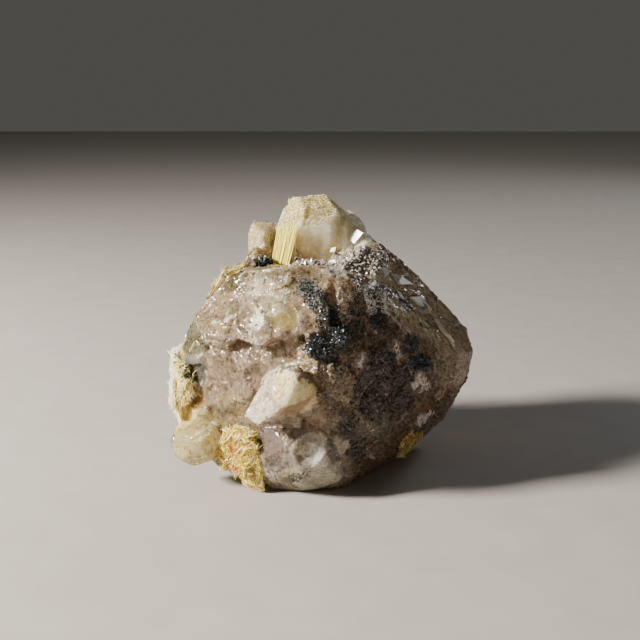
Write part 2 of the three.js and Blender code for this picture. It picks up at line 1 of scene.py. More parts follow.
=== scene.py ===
import math
import bpy
import bmesh
import numpy as np
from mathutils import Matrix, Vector


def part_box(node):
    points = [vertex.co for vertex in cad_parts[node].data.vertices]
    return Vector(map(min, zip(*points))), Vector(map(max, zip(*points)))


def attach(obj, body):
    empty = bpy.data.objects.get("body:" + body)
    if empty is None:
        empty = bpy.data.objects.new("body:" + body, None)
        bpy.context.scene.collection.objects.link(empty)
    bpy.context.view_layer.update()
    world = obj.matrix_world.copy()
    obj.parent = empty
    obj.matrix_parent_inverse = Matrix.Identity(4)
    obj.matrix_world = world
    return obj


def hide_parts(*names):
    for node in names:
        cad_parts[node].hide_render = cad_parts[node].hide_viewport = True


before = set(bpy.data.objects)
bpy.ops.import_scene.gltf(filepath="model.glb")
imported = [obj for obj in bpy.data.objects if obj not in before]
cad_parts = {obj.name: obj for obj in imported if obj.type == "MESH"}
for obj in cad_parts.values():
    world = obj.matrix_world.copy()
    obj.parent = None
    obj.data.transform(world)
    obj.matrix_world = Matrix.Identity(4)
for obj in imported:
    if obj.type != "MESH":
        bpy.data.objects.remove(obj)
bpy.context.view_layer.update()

mm = 0.001   # the shapes below are worked out in millimetres and stored in metres
print("frame loaded:", sorted(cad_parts))


# small sums

def shade(red, green, blue):
    # a colour picked on a 0..255 swatch, made linear
    c = np.array([red, green, blue], float) / 255
    return np.where(c <= 0.04045, c / 12.92, ((c + 0.055) / 1.055) ** 2.4)


def blend(inner, outer, part):
    # from the inner swatch (part 0) to the outer one (part 1)
    return shade(*inner) + (shade(*outer) - shade(*inner)) * part


def smooth(x):
    # 0 below 0, 1 above 1, an even S between: 3x^2 - 2x^3
    x = np.clip(x, 0, 1)
    return x * x * (3 - 2 * x)


def unit(v):
    return v / np.maximum(np.linalg.norm(v, axis=-1, keepdims=True), 1e-9)


def cellChance(cell, salt):
    # a fixed 0..1 number for each whole-number cell: its three numbers are mixed bit by bit
    k = cell.astype(np.int64).astype(np.uint32)
    k = (k[:, 0] * np.uint32(73856093)) ^ (k[:, 1] * np.uint32(19349663)) \
        ^ (k[:, 2] * np.uint32(83492791)) ^ np.uint32((salt * 2654435761 + 97) % 2 ** 32)
    for shift, factor in ((15, 2246822519), (13, 3266489917)):
        k ^= k >> np.uint32(shift)
        k *= np.uint32(factor)
    return (k ^ (k >> np.uint32(16))) / 2.0 ** 32


def cellPoint(cell, salt):
    # three such numbers side by side
    return np.stack([cellChance(cell, salt + i) for i in range(3)], 1)


def softNoise(points, size, salt):
    # -1..1: each cell's corners carry a chance number, blended evenly across the cell
    low = np.floor(points / size)
    part = smooth(points / size - low)
    total = np.zeros(len(points))
    for corner in np.ndindex(2, 2, 2):
        total += np.where(corner, part, 1 - part).prod(1) * cellChance(low + corner, salt)
    return total * 2 - 1


def roughNoise(points, size, salt):
    # soft noise added to itself twice, at half the size and half the height each time
    return sum(softNoise(points, size / 2 ** n, salt + 11 * n) / 2 ** n for n in range(3)) / 1.75


def threeNoises(kind, points, size, salt):
    # three soft or rough noises side by side, to push points about
    return np.stack([kind(points, size, salt + i) for i in range(3)], 1)


def shards(points, size, salt):
    # the ground is shared out among scattered points; each share is a flat face with its own
    # lean and height. Also back: how far the border is, and a chance number for the face
    low = np.floor(points / size)
    near, second = np.full((2, len(points)), 9e9)
    height, chance = np.zeros((2, len(points)))
    for step in np.ndindex(3, 3, 3):
        cell = low + np.array(step) - 1
        away = points - (cell + cellPoint(cell, salt)) * size
        far = np.sqrt((away * away).sum(1))
        closer = far < near
        second = np.where(closer, near, np.minimum(second, far))
        near = np.where(closer, far, near)
        lean = cellPoint(cell, salt + 5) * 2 - 1
        face = (away * lean).sum(1) / size + cellChance(cell, salt + 9) - 0.5
        height = np.where(closer, face, height)
        chance = np.where(closer, cellChance(cell, salt + 13), chance)
    return height, (second - near) / size, chance


def crowd(points, places, steep):
    # every place (middle, reach, share) adds its share inside its reach and fades out at its border
    return sum(share * smooth((1 - np.linalg.norm((points - middle) / reach, axis=1)) * steep)
               for middle, reach, share in places)


def pick(rng, weight, number):
    return rng.choice(len(weight), number, p=weight / weight.sum())


# meshes

def newPiece(name, points, faces, flat=True):
    mesh = bpy.data.meshes.new(name)
    mesh.from_pydata((np.asarray(points) * mm).tolist(), [], faces)
    mesh.update()
    if not flat:
        mesh.polygons.foreach_set("use_smooth", np.ones(len(mesh.polygons), bool))
    piece = bpy.data.objects.new(name, mesh)
    bpy.context.scene.collection.objects.link(piece)
    return piece


def paint(piece, name, values):
    # an attribute of the piece's own points: three numbers are a colour, one is a plain amount
    values = np.asarray(values, np.float32)
    if values.ndim == 2:
        layer = piece.data.attributes.new(name, "FLOAT_COLOR", "POINT")
        layer.data.foreach_set("color", np.hstack([values, np.ones((len(values), 1), np.float32)]).ravel())
    else:
        piece.data.attributes.new(name, "FLOAT", "POINT").data.foreach_set("value", values)


def settle(piece, material, node=None):
    # gives the piece its finish, lets it ride on the stone and, if told, stand for a solid
    piece.data.materials.append(material)
    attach(piece, "root")
    if node:
        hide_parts(node)


def wrappedCopy(nodes, voxel):
    # the nodes' merged copy, wrapped in one even net of small quads
    bm = bmesh.new()
    for node in nodes:
        bm.from_mesh(node.data)
    bmesh.ops.remove_doubles(bm, verts=bm.verts, dist=1e-6)
    mesh = bpy.data.meshes.new("wrapSource")
    bm.to_mesh(mesh)
    bm.free()
    obj = bpy.data.objects.new("wrapSource", mesh)
    bpy.context.scene.collection.objects.link(obj)
    wrap = obj.modifiers.new("wrap", "REMESH")
    wrap.mode = "VOXEL"
    wrap.voxel_size = voxel * mm
    done = bpy.data.meshes.new_from_object(obj.evaluated_get(bpy.context.evaluated_depsgraph_get()))
    points = np.empty(len(done.vertices) * 3)
    done.vertices.foreach_get("co", points)
    quads = np.empty(len(done.loops), int)
    done.loops.foreach_get("vertex_index", quads)
    bpy.data.objects.remove(obj)
    bpy.data.meshes.remove(mesh)
    bpy.data.meshes.remove(done)
    return points.reshape(-1, 3) / mm, quads.reshape(-1, 4)


def pointNormals(points, quads):
    # each quad's face direction, added up at its corners
    a, b, c, d = (points[quads[:, i]] for i in range(4))
    face = np.cross(c - a, d - b)
    total = np.zeros_like(points)
    for axis in range(3):
        total[:, axis] = sum(np.bincount(quads[:, i], face[:, axis], len(points)) for i in range(4))
    return unit(total)


def neighbourMean(values, quads):
    # the mean over the ends of the edges that meet at each point
    count = len(values)
    a, b = np.concatenate([quads[:, [i, (i + 1) % 4]] for i in range(4)]).T
    ends = np.bincount(a, minlength=count) + np.bincount(b, minlength=count)
    return np.stack([(np.bincount(a, column[b], count) + np.bincount(b, column[a], count)) / ends
                     for column in values.T], 1)


# quartz: the broken, grown skin

skin = dict(
    voxel=0.38,             # mm
    evenTurns=2,            # how often the net's steps are smoothed away, how strongly, how much less on crystals
    evenOut=0.34,
    crystalsLess=0.2,
    fillTurns=7,            # how often the clefts are filled up a little, and how much
    fill=0.8,
    scoops=280,             # shell-shaped chips: how many, their radius and how deep they bite, mm
    scoopReach=(2.2, 6.5),
    scoopBite=(0.08, 0.3),
    shardSize=(2.3, 1.15),  # the two sizes of flat broken faces, and how far they stand out
    shardRise=(0.10, 0.04),
    roughRise=0.014,
    rippleRise=0.10,        # glassy slope
    glassRise=0.10,         # knob, lens and lobe
    stepRise=0.05,          # growth lines across the prism faces
    footRise=0.6,           # what lies lower stays flat, mm
    faceShade=0.14,         # how far the shade, the hue and the frost of one broken face differ from the next
    faceHue=0.5,
    faceFrost=0.12,
    bulge=0.15,             # how far a sharp edge stands out, mm; how much painted highlight sharp edges get, how much painted shade hollows get
    edgeHighlightColour=(246, 234, 214),
    edgeHighlight=0.14,
    hollowShade=0.13,
    seed=41,
)

# the tall crystal, mm and radians
tallPrism = dict(
    axis=(-2, 6), foot=42.8, turn=0.38, setOut=0.2, leanLeft=1.3, leanRight=0.9,
    corner=((1.3, 0, 53.3), (0.67, 0, 0.742)),         # past this plane it is broken off
    face=((-7.2, 4.8, 53.4), (-0.52, -0.85, 0.07)),    # the face that the blades lie against
    groove=((-9.5, -99, 41), (-3.2, 9, 51.6), 2.2),    # where the blades' groove is closed, how deep it is
)

# behind the crest the body falls away: how far, then in each direction where that begins, how softly, where
# it ends and how softly
fall = dict(depth=1.7, zone=((-10, 3, 5.2, 2), (-4.4, 4.5, 6, 2), (40.5, 1.5, 45.4, 0.8)))

# where the ridge runs between the left faces and the right face, mm: height, sideways place
ridgeLine = np.array([(0, 5), (5, 5.5), (10, 5), (15, 3.5), (18, 1), (22, -1.5), (27, -1),
                      (30, -2.6), (33, -2.6), (34.5, 2), (38, 2.8), (41, 3.2), (47, 5.5)])
# the lower edge of the glassy slope, mm: sideways place, height
slopeLine = np.array([(4, 41.5), (6, 40), (8.5, 38), (14, 32.5), (19.5, 28.5), (28, 20), (31, 15)])
downSlope = np.array((0.62, 0.2, -0.76))


def finish(colour, clear=0.3, frost=0.4, grain=0.6, speck=0.0, glow=0.0):
    # how much light goes through, how dull, how grainy, how many black dots, how milky: 0..1 each
    return dict(tone=shade(*colour), clear=clear, frost=frost, grain=grain, speck=speck, glow=glow)


def patch(at, size, colour, clear=0.3, frost=0.4, grain=0.6, speck=0.0, edge=0.18, ragged=0.45, glow=0.0):
    return dict(finish(colour, clear, frost, grain, speck, glow), at=np.array(at, float),
                size=np.array(size, float), edge=edge, ragged=ragged)


# the whole stone; its dark right side, the stone's own smoky brown laid darker as painted shade; the glassy slope; the
# far left flank
ground = finish((164, 142, 114), 0.45, 0.17, 0.6, glow=0.45)
rightGround = finish((104, 82, 60), 0.4, 0.16, 0.8, 0.22)
slopeGround = finish((188, 172, 140), 0.7, 0.06, 0.18, 0.03)
flankGround = finish((176, 164, 134), 0.68, 0.17, 0.4, glow=0.5)
feltBed = dict(colour=(214, 184, 112), clear=0.2, frost=0.3, grain=0.6, glow=0.4)   # under the gold felts

# finishes that several patches have: colour, clear, frost, grain, speck, edge, ragged
mauveFinish = ((236, 222, 220), 0.3, 0.2, 0.9, 0.15, 0.4, 1.1)
dottedFinish = ((116, 115, 108), 0.38, 0.19, 0.9, 0.7, 0.3)
blackFinish = ((92, 86, 80), 0.3, 0.15, 1, 0.85, 0.4, 1)

# rounded patches: middle and reach, mm, then the finish; edge: how soft, ragged: how uneven the border is
patches = dict(
    crestSlab=patch((-6, -9, 40), (13, 5, 4), (156, 136, 104), 0.45, 0.2, 0.6, glow=0.5),
    crestGlitter=patch((-10, -9.5, 38.6), (3.4, 4, 2.6), (190, 176, 152), 0.33, 0.22, 1, glow=0.3),
    crestOchre=patch((-7.5, -12, 38.2), (2.6, 3, 2), (190, 164, 126), 0.48, 0.25, 0.8),
    blockLeft=patch((-19.5, -9, 34.5), (5, 6, 5), (168, 147, 114), 0.5, 0.2, 0.5, glow=0.5),
    whiteGlitter=patch((-12.1, -14.9, 34.3), (2.3, 3, 2.7), (240, 232, 218), 0.26, 0.2, 1),
    yellowLens=patch((-7.0, -16.8, 35.4), (2.5, 3.2, 2.5), (182, 164, 108), 0.5, 0.12, 0.06, 0, 0.12, 0.08,
        glow=0.5),
    lensRim=patch((-9.0, -14.5, 37.2), (2.6, 3, 2.2), (204, 188, 156), 0.5, 0.22, 0.3, glow=0.5),
    dottedTop=patch((-2.8, -12.2, 39.6), (2.2, 3.6, 1.9), (126, 124, 116), 0.38, 0.19, 0.9, 0.7, 0.3),
    dottedPatch=patch((-1.0, -13.9, 37.8), (2.3, 3.6, 2.2), *dottedFinish),
    dottedFoot=patch((0.9, -15.2, 35.6), (2.2, 3.6, 2.0), *dottedFinish),
    crustLeft=patch((-0.6, -18.2, 30.2), (2.9, 3.4, 2.3), (40, 40, 42), 0.05, 0.15, 1, 0.9),
    crustRight=patch((3.0, -16.9, 32.4), (2.1, 3.4, 1.9), (36, 36, 38), 0.05, 0.15, 1, 0.9),
    ledgeWhite=patch((-11.0, -15.5, 31.2), (2.0, 3, 1.8), (220, 208, 190), 0.3, 0.22, 1),
    squareFace=patch((-14.5, -13.5, 24.5), (9.5, 6, 7.5), (164, 141, 112), 0.5, 0.2, 0.45, glow=0.5),
    squareLow=patch((-16.5, -12.5, 17.4), (5.5, 5, 3.0), (174, 151, 112), 0.5, 0.22, 0.45, glow=0.5),
    underLedge=patch((-6.0, -17.0, 30.3), (6.0, 3, 2.6), (162, 137, 106), 0.48, 0.22, 0.6, glow=0.4),
    wedge=patch((-9.5, -20.0, 22.0), (6.2, 4, 5.0), (230, 214, 190), 0.4, 0.14, 0.45, glow=0.5),
    wedgeAmber=patch((-4.0, -21.5, 22.2), (2.7, 3, 3.8), (250, 222, 166), 0.35, 0.14, 0.3, glow=0.6),
    tanBump=patch((2.7, -18.3, 23.9), (4.0, 4, 4.6), (144, 120, 94), 0.42, 0.19, 0.7, 0.3),
    shoulderOlive=patch((-16.6, -5.2, 39.6), (2.4, 3.4, 2.6), (140, 132, 96), 0.75, 0.1, 0.3),
    flankPit=patch((-25.2, -5.9, 27.5), (3.5, 5, 3.6), (156, 148, 112), 0.73, 0.12, 0.5),
    flankGrey=patch((-24.2, -6.4, 23.2), (2.2, 3, 3.4), (120, 114, 104), 0.68, 0.09, 0.3),
    flankCavity=patch((-24.9, -4.6, 15.3), (2.4, 4, 2.8), (112, 66, 28), 0.53, 0.19, 0.7),
    matGold=patch((-25.9, -3.0, 19.8), (1.9, 3.4, 3.4), (255, 228, 140), 0.1, 0.3, 0.8, glow=0.5),
    matFoot=patch((-25.9, -5.2, 13.4), (1.7, 3.2, 2.4), (232, 214, 140), 0.1, 0.3, 0.6),
    knob=patch((-24, -10, 9.5), (6.0, 8, 7.0), (232, 214, 152), 0.68, 0.2, 0.25, glow=0.6),
    pillow=patch((-3.0, -16, 9.0), (9.5, 7, 6.4), (218, 204, 184), 0.5, 0.16, 0.65, glow=0.3),
    pillowPale=patch((-0.6, -18, 9.4), (3.8, 4, 3.6), (246, 234, 216), 0.45, 0.14, 0.4, glow=0.5),
    pillowShade=patch((-8.8, -16.6, 10.5), (3.2, 4, 5.5), (160, 140, 126), 0.63, 0.19, 0.6),
    pillowTop=patch((-4.5, -17.5, 14.6), (5.4, 4, 1.8), (184, 158, 136), 0.53, 0.2, 0.7),
    pillowSpecks=patch((-4.6, -15.9, 4.7), (3.6, 4, 2.2), (170, 160, 120), 0.58, 0.19, 0.8, 0.45),
    pillowFoot=patch((0.0, -14.6, 3.2), (5.5, 4, 2.0), (244, 234, 216), 0.45, 0.12, 0.3, glow=0.4),
    tallCrystal=patch((-1.5, 5.5, 47.5), (9.5, 12, 9.5), (240, 220, 172), 0.42, 0.1, 0.12, 0, 0.1, 0.02, glow=1),
    tallTop=patch((-2.4, 4.5, 53.4), (9, 8, 4.3), (206, 186, 104), 0.38, 0.18, 0.8, 0, 0.4, 0.15, glow=0.8),
    tallLow=patch((-1.0, 3, 46.4), (4.0, 8, 3.6), (250, 238, 214), 0.3, 0.12, 0.15, 0, 0.6, 0.2, glow=0.9),
    # painted light: the prism's right edge is laid pale yellow as if glowing with light passed through the crystal
    tallEdgeGlow=patch((3.2, 4.0, 48.5), (1.5, 6, 5.5), (255, 246, 212), 0.3, 0.14, 0.2, 0, 0.5, 0.15, glow=1),
    shortCrystal=patch((-11.2, 6.5, 45.4), (3.9, 6, 5.2), (204, 186, 142), 0.35, 0.28, 0.7, 0, 0.2, 0.05, glow=0.7),
    # painted light: the smoky crystal is laid almost white, far paler than its own olive brown, as glow of light
    # passed through it
    smokyCrystal=patch((6.5, 7.5, 46.5), (4.0, 5, 5.0), (255, 248, 226), 0.25, 0.2, 0.35, 0, 0.2, 0.15, glow=1),
    # painted shade: the ramp faces up into the light, so it is laid darker to match the shaded prism face above it
    ramp=patch((0.5, -1.4, 43.3), (5.5, 3.4, 1.4), (150, 122, 92), 0.3, 0.2, 0.15, glow=0.6),
    druse=patch((6.5, -3.5, 42.8), (5.2, 6, 3.6), (178, 167, 152), 0.53, 0.11, 1, 0.05),
    drusePale=patch((3.6, -6.0, 42.0), (4.2, 4, 1.6), (186, 174, 158), 0.38, 0.15, 1, 0.05),
    brownPocket=patch((4.4, -13.6, 37.6), (2.9, 4, 5.2), (92, 78, 62), 0.5, 0.15, 0.5, 0.12),
    pocketLow=patch((4.6, -13.8, 33.8), (3.4, 4, 3.2), (76, 62, 48), 0.42, 0.16, 0.7, 0.3),
    # painted glints: the band's silvery white stands for glints on the black hematite
    silverGlintBand=patch((9.6, -9.6, 36.9), (2.2, 4, 4.6), (250, 248, 238), 0.28, 0.10, 1, 0.25),
    slopeTan=patch((12.0, 2.0, 41.5), (3.4, 4, 2.4), (208, 178, 142), 0.68, 0.12, 0.3),
    mauveUpper=patch((7.1, -15.2, 26.5), (1.5, 2, 1.8), *mauveFinish),
    mauveMiddle=patch((13.2, -12.0, 26.2), (1.5, 3, 3.2), *mauveFinish),
    mauveLower=patch((17.2, -9.2, 21.0), (2.7, 3, 3.0), *mauveFinish),
    mauveFoot=patch((20.3, -1.2, 10.6), (2.4, 3, 2.2), *mauveFinish),
    rustSpot=patch((20.6, -2.6, 13.6), (1.2, 2, 1.7), (140, 92, 50), 0.48, 0.19, 0.6),
    oliveSpot=patch((11.0, -12.0, 13.4), (2.3, 3, 2.9), (108, 104, 80), 0.58, 0.19, 0.5),
    rustBrown=patch((9.6, -12.6, 22.5), (6.0, 5, 6.4), (44, 30, 20), 0.42, 0.17, 0.8, 0.3),
    smokeBrown=patch((14.2, -9.4, 19.0), (3.4, 4, 4.4), (38, 26, 17), 0.68, 0.15, 0.6, 0.25),
    greyRight=patch((25.0, 0.0, 21.0), (5.5, 6, 5.5), (166, 150, 128), 0.5, 0.17, 0.5),
    lipPale=patch((27.8, 2.4, 19.6), (2.4, 3, 5.0), (204, 190, 172), 0.38, 0.22, 0.8),
    lipBrown=patch((28.5, 4.5, 12.5), (4.0, 5, 3.6), (146, 118, 90), 0.45, 0.19, 0.6),
    blackUpperDots=patch((9.8, -11.4, 33.2), (2.1, 3, 1.6), (62, 62, 60), 0.3, 0.15, 1, 0.85, 0.4, 1),
    blackRightA=patch((16.4, -8.8, 28.2), (2.6, 3, 1.8), *blackFinish),
    blackRightB=patch((18.3, -6.5, 24.0), (2.2, 3, 1.6), *blackFinish),
    darkTerm=patch((4.6, -15.0, 14.4), (2.4, 3, 3.0), (86, 68, 52), 0.53, 0.19, 0.9, 0.6),
    darkTermLow=patch((6.6, -12.6, 8.6), (2.2, 3, 4.2), (92, 76, 62), 0.53, 0.19, 0.9, 0.6),
    backSmoke=patch((2, 20, 22), (22, 12, 18), (158, 140, 122), 0.5, 0.2, 0.5, glow=0.45),
)


def reachOf(points, p, wobble=0):
    # 1 well inside the patch, 0 outside, along an uneven border
    far = np.linalg.norm((points - p["at"]) / p["size"], axis=1)
    return smooth((1 - far + wobble * p["ragged"]) / p["edge"] + 0.5)


def facet(corners, depth, colour, clear, frost, glow=0.3):
    return dict(finish(colour, clear, frost, 0.25, glow=glow), corners=corners, depth=depth)


# flat faces: corners seen from the front (sideways, height), the depth they lie at, colour, clear, frost
facets = dict(
    tallLeft=facet(((-11, 40), (-9.6, 48.4), (-7.2, 54.5), (-4.3, 54.8), (-4.5, 51.5), (-5.1, 49), (-5.5, 44),
        (-6.4, 40)), (0, 8.5), (204, 184, 116), 0.42, 0.16, 0.7),
    # the cream facet: its own cream, brightened as painted light shining through it from behind
    cream=facet(((-7.7, 26.6), (-8.8, 25.3), (-9.0, 23.5), (-8.6, 22.2), (-7.9, 21.7), (-6.6, 22.6), (-5.6, 24.0),
        (-4.9, 24.6), (-4.9, 26.0), (-5.4, 26.7), (-6.5, 26.8)), (-23.3, -18.1), (252, 224, 172), 0.25, 0.14),
    wedgeWhite=facet(((-11.7, 21.1), (-10.8, 23.9), (-9.9, 24.9), (-8.4, 25.7), (-9.0, 25.1), (-9.0, 23.2),
        (-8.6, 21.9), (-10.1, 21.3)), (-22.0, -14.0), (222, 210, 190), 0.5, 0.12),
    wedgeLow=facet(((-13.8, 17.6), (-12.7, 19.3), (-10.8, 20.6), (-9.0, 21.0), (-8.4, 19.7), (-10.1, 17.9),
        (-11.6, 16.9)), (-22.5, -16.6), (244, 228, 206), 0.35, 0.12),
    amber=facet(((-7.2, 20.7), (-6.5, 22.5), (-4.9, 24.0), (-3.9, 25.7), (-3.0, 25.1), (-2.2, 23.2), (-3.2, 22.6),
        (-4.4, 21.4), (-6.0, 20.3)), (-23.3, -19.6), (255, 234, 176), 0.35, 0.12),
    amberLow=facet(((-6.9, 19.9), (-4.4, 21.2), (-2.2, 22.4), (-0.9, 21.5), (-2.3, 20.4), (-4.1, 19.0),
        (-5.4, 17.2), (-6.4, 18.3)), (-22.7, -17.9), (182, 148, 100), 0.4, 0.2),
    greenFacet=facet(((-4.5, 26.7), (-4.0, 28.3), (-2.9, 27.4), (-2.2, 26.1), (-1.6, 24.5), (-2.2, 23.4),
        (-3.0, 25.3), (-3.9, 25.9)), (-23.1, -16.8), (136, 118, 86), 0.5, 0.14),
    wedgeTopGrey=facet(((-7.5, 26.0), (-5.9, 27.2), (-4.3, 27.4), (-4.7, 26.9), (-5.2, 26.5), (-6.3, 27.0)),
        (-22.9, -15.2), (180, 166, 138), 0.45, 0.14),
    pinkBit=facet(((-8.3, 19.6), (-7.4, 21.3), (-6.7, 20.2), (-7.1, 18.1), (-8.0, 17.4)), (-22.9, -17.9),
        (222, 184, 148), 0.35, 0.14),
    tanFace=facet(((-0.8, 40.3), (1.7, 40.8), (2.6, 39.3), (1.9, 37.2), (0.8, 37.9), (-0.2, 39.2)), (-15.2, -8.7),
        (186, 156, 122), 0.35, 0.2),
    slabLow=facet(((-10.7, 30.9), (-10.2, 32.7), (-8.4, 33.4), (-5.8, 32.6), (-6.4, 31.9), (-8.6, 30.1),
        (-10.6, 28.8)), (-19.7, -13.0), (178, 152, 124), 0.35, 0.18),
    flakeU=facet(((7.9, 40.7), (9.3, 41.6), (11.0, 40.6), (12.8, 38.9), (12.8, 37.9), (11.4, 38.7), (9.5, 39.2)),
        (-9.6, -1.0), (186, 174, 152), 0.3, 0.14),
    flakeL=facet(((16.2, 35.2), (17.7, 35.0), (19.4, 34.2), (21.0, 32.7), (20.4, 31.5), (18.7, 32.9),
        (17.2, 33.5)), (-4.7, 2.2), (186, 174, 152), 0.3, 0.14),
    streakW=facet(((21.5, 31.1), (22.4, 30.8), (24.3, 28.3), (26.1, 25.2), (25.2, 25.4), (23.3, 28.4)),
        (-2.2, 2.0), (186, 174, 152), 0.3, 0.14),
    # painted shadow: a dark band under the lower right edge of the upper flake
    flakeShadow=facet(((13.2, 37.2), (14.6, 36.9), (16.0, 35.4), (16.9, 33.7), (15.7, 33.9), (14.2, 35.3)),
        (-7.2, -0.2), (36, 30, 24), 0.3, 0.2),
    greyFacet=facet(((-25.7, 20.2), (-23.9, 23.1), (-22.4, 25.2), (-21.7, 24.0), (-22.0, 21.7), (-22.5, 20.1),
        (-24.3, 19.8)), (-10.7, -2.2), (104, 98, 90), 0.5, 0.1),
    greyPale=facet(((-26.8, 25.1), (-23.1, 26.7), (-22.1, 25.6), (-23.9, 23.3), (-26.0, 20.3), (-27.3, 20.5),
        (-27.1, 23.6)), (-10.9, 0.7), (142, 136, 122), 0.45, 0.12),
    cavity=facet(((-25.8, 14.8), (-25.3, 15.7), (-23.8, 17.4), (-22.9, 17.2), (-23.2, 15.7), (-24.1, 14.9),
        (-25.3, 14.3)), (-8.7, -2.2), (150, 112, 64), 0.45, 0.2),
    pitDark=facet(((-26.1, 26.7), (-24.9, 28.2), (-23.3, 29.2), (-23.5, 28.4), (-25.1, 27.0)), (-9.9, -3.5),
        (112, 92, 58), 0.5, 0.15),
    ledgeShade=facet(((-17.6, 29.3), (-16.4, 30.6), (-15.1, 31.3), (-13.7, 30.7), (-15.1, 28.9), (-16.8, 28.5)),
        (-17.2, -9.9), (160, 132, 98), 0.4, 0.2),
    pillowLeft=facet(((-12.3, 12.2), (-9.8, 17.1), (-8.1, 14.0), (-7.1, 12.7), (-6.9, 9.8), (-9.3, 9.4),
        (-12.2, 8.4)), (-21.1, -10.7), (126, 106, 96), 0.45, 0.16),
    pillowMidFace=facet(((-6.7, 12.8), (-4.4, 14.8), (-2.0, 14.4), (-0.2, 12.9), (-1.0, 10.7), (-2.8, 11.7),
        (-4.2, 8.9), (-6.8, 9.0)), (-19.9, -15.8), (172, 160, 144), 0.45, 0.14),
    pillowBright=facet(((-3.0, 12.1), (-1.3, 11.4), (-0.1, 9.9), (0.9, 8.0), (0.5, 7.0), (-1.4, 7.2), (-2.2, 9.2)),
        (-19.9, -15.5), (250, 242, 230), 0.25, 0.12),
    pillowEdge=facet(((1.0, 12.6), (2.6, 10.2), (3.2, 7.2), (1.6, 7.0), (0.6, 9.4), (0.2, 11.4)), (-19.5, -12),
        (136, 124, 110), 0.5, 0.14),
    pillowDusk=facet(((-7.4, 10.2), (-4.2, 9.8), (-2.6, 8.6), (-1.6, 7.0), (-4.2, 6.0), (-7.6, 7.2)), (-20, -14),
        (180, 168, 152), 0.5, 0.16),
    pillowRight=facet(((-3.3, 6.3), (-0.6, 7.2), (2.7, 6.5), (3.5, 4.5), (2.0, 1.9), (-1.4, 0.5), (-4.4, 0.6)),
        (-19.1, -10.3), (226, 216, 196), 0.5, 0.12),
)

# how lines are laid: width and ragged ends, how much of a bright one (the rest is slivers), their finish
lineLook = dict(width=0.85, fray=0.35, brightShare=0.6, finish=(0.1, 0.2, 0.6))
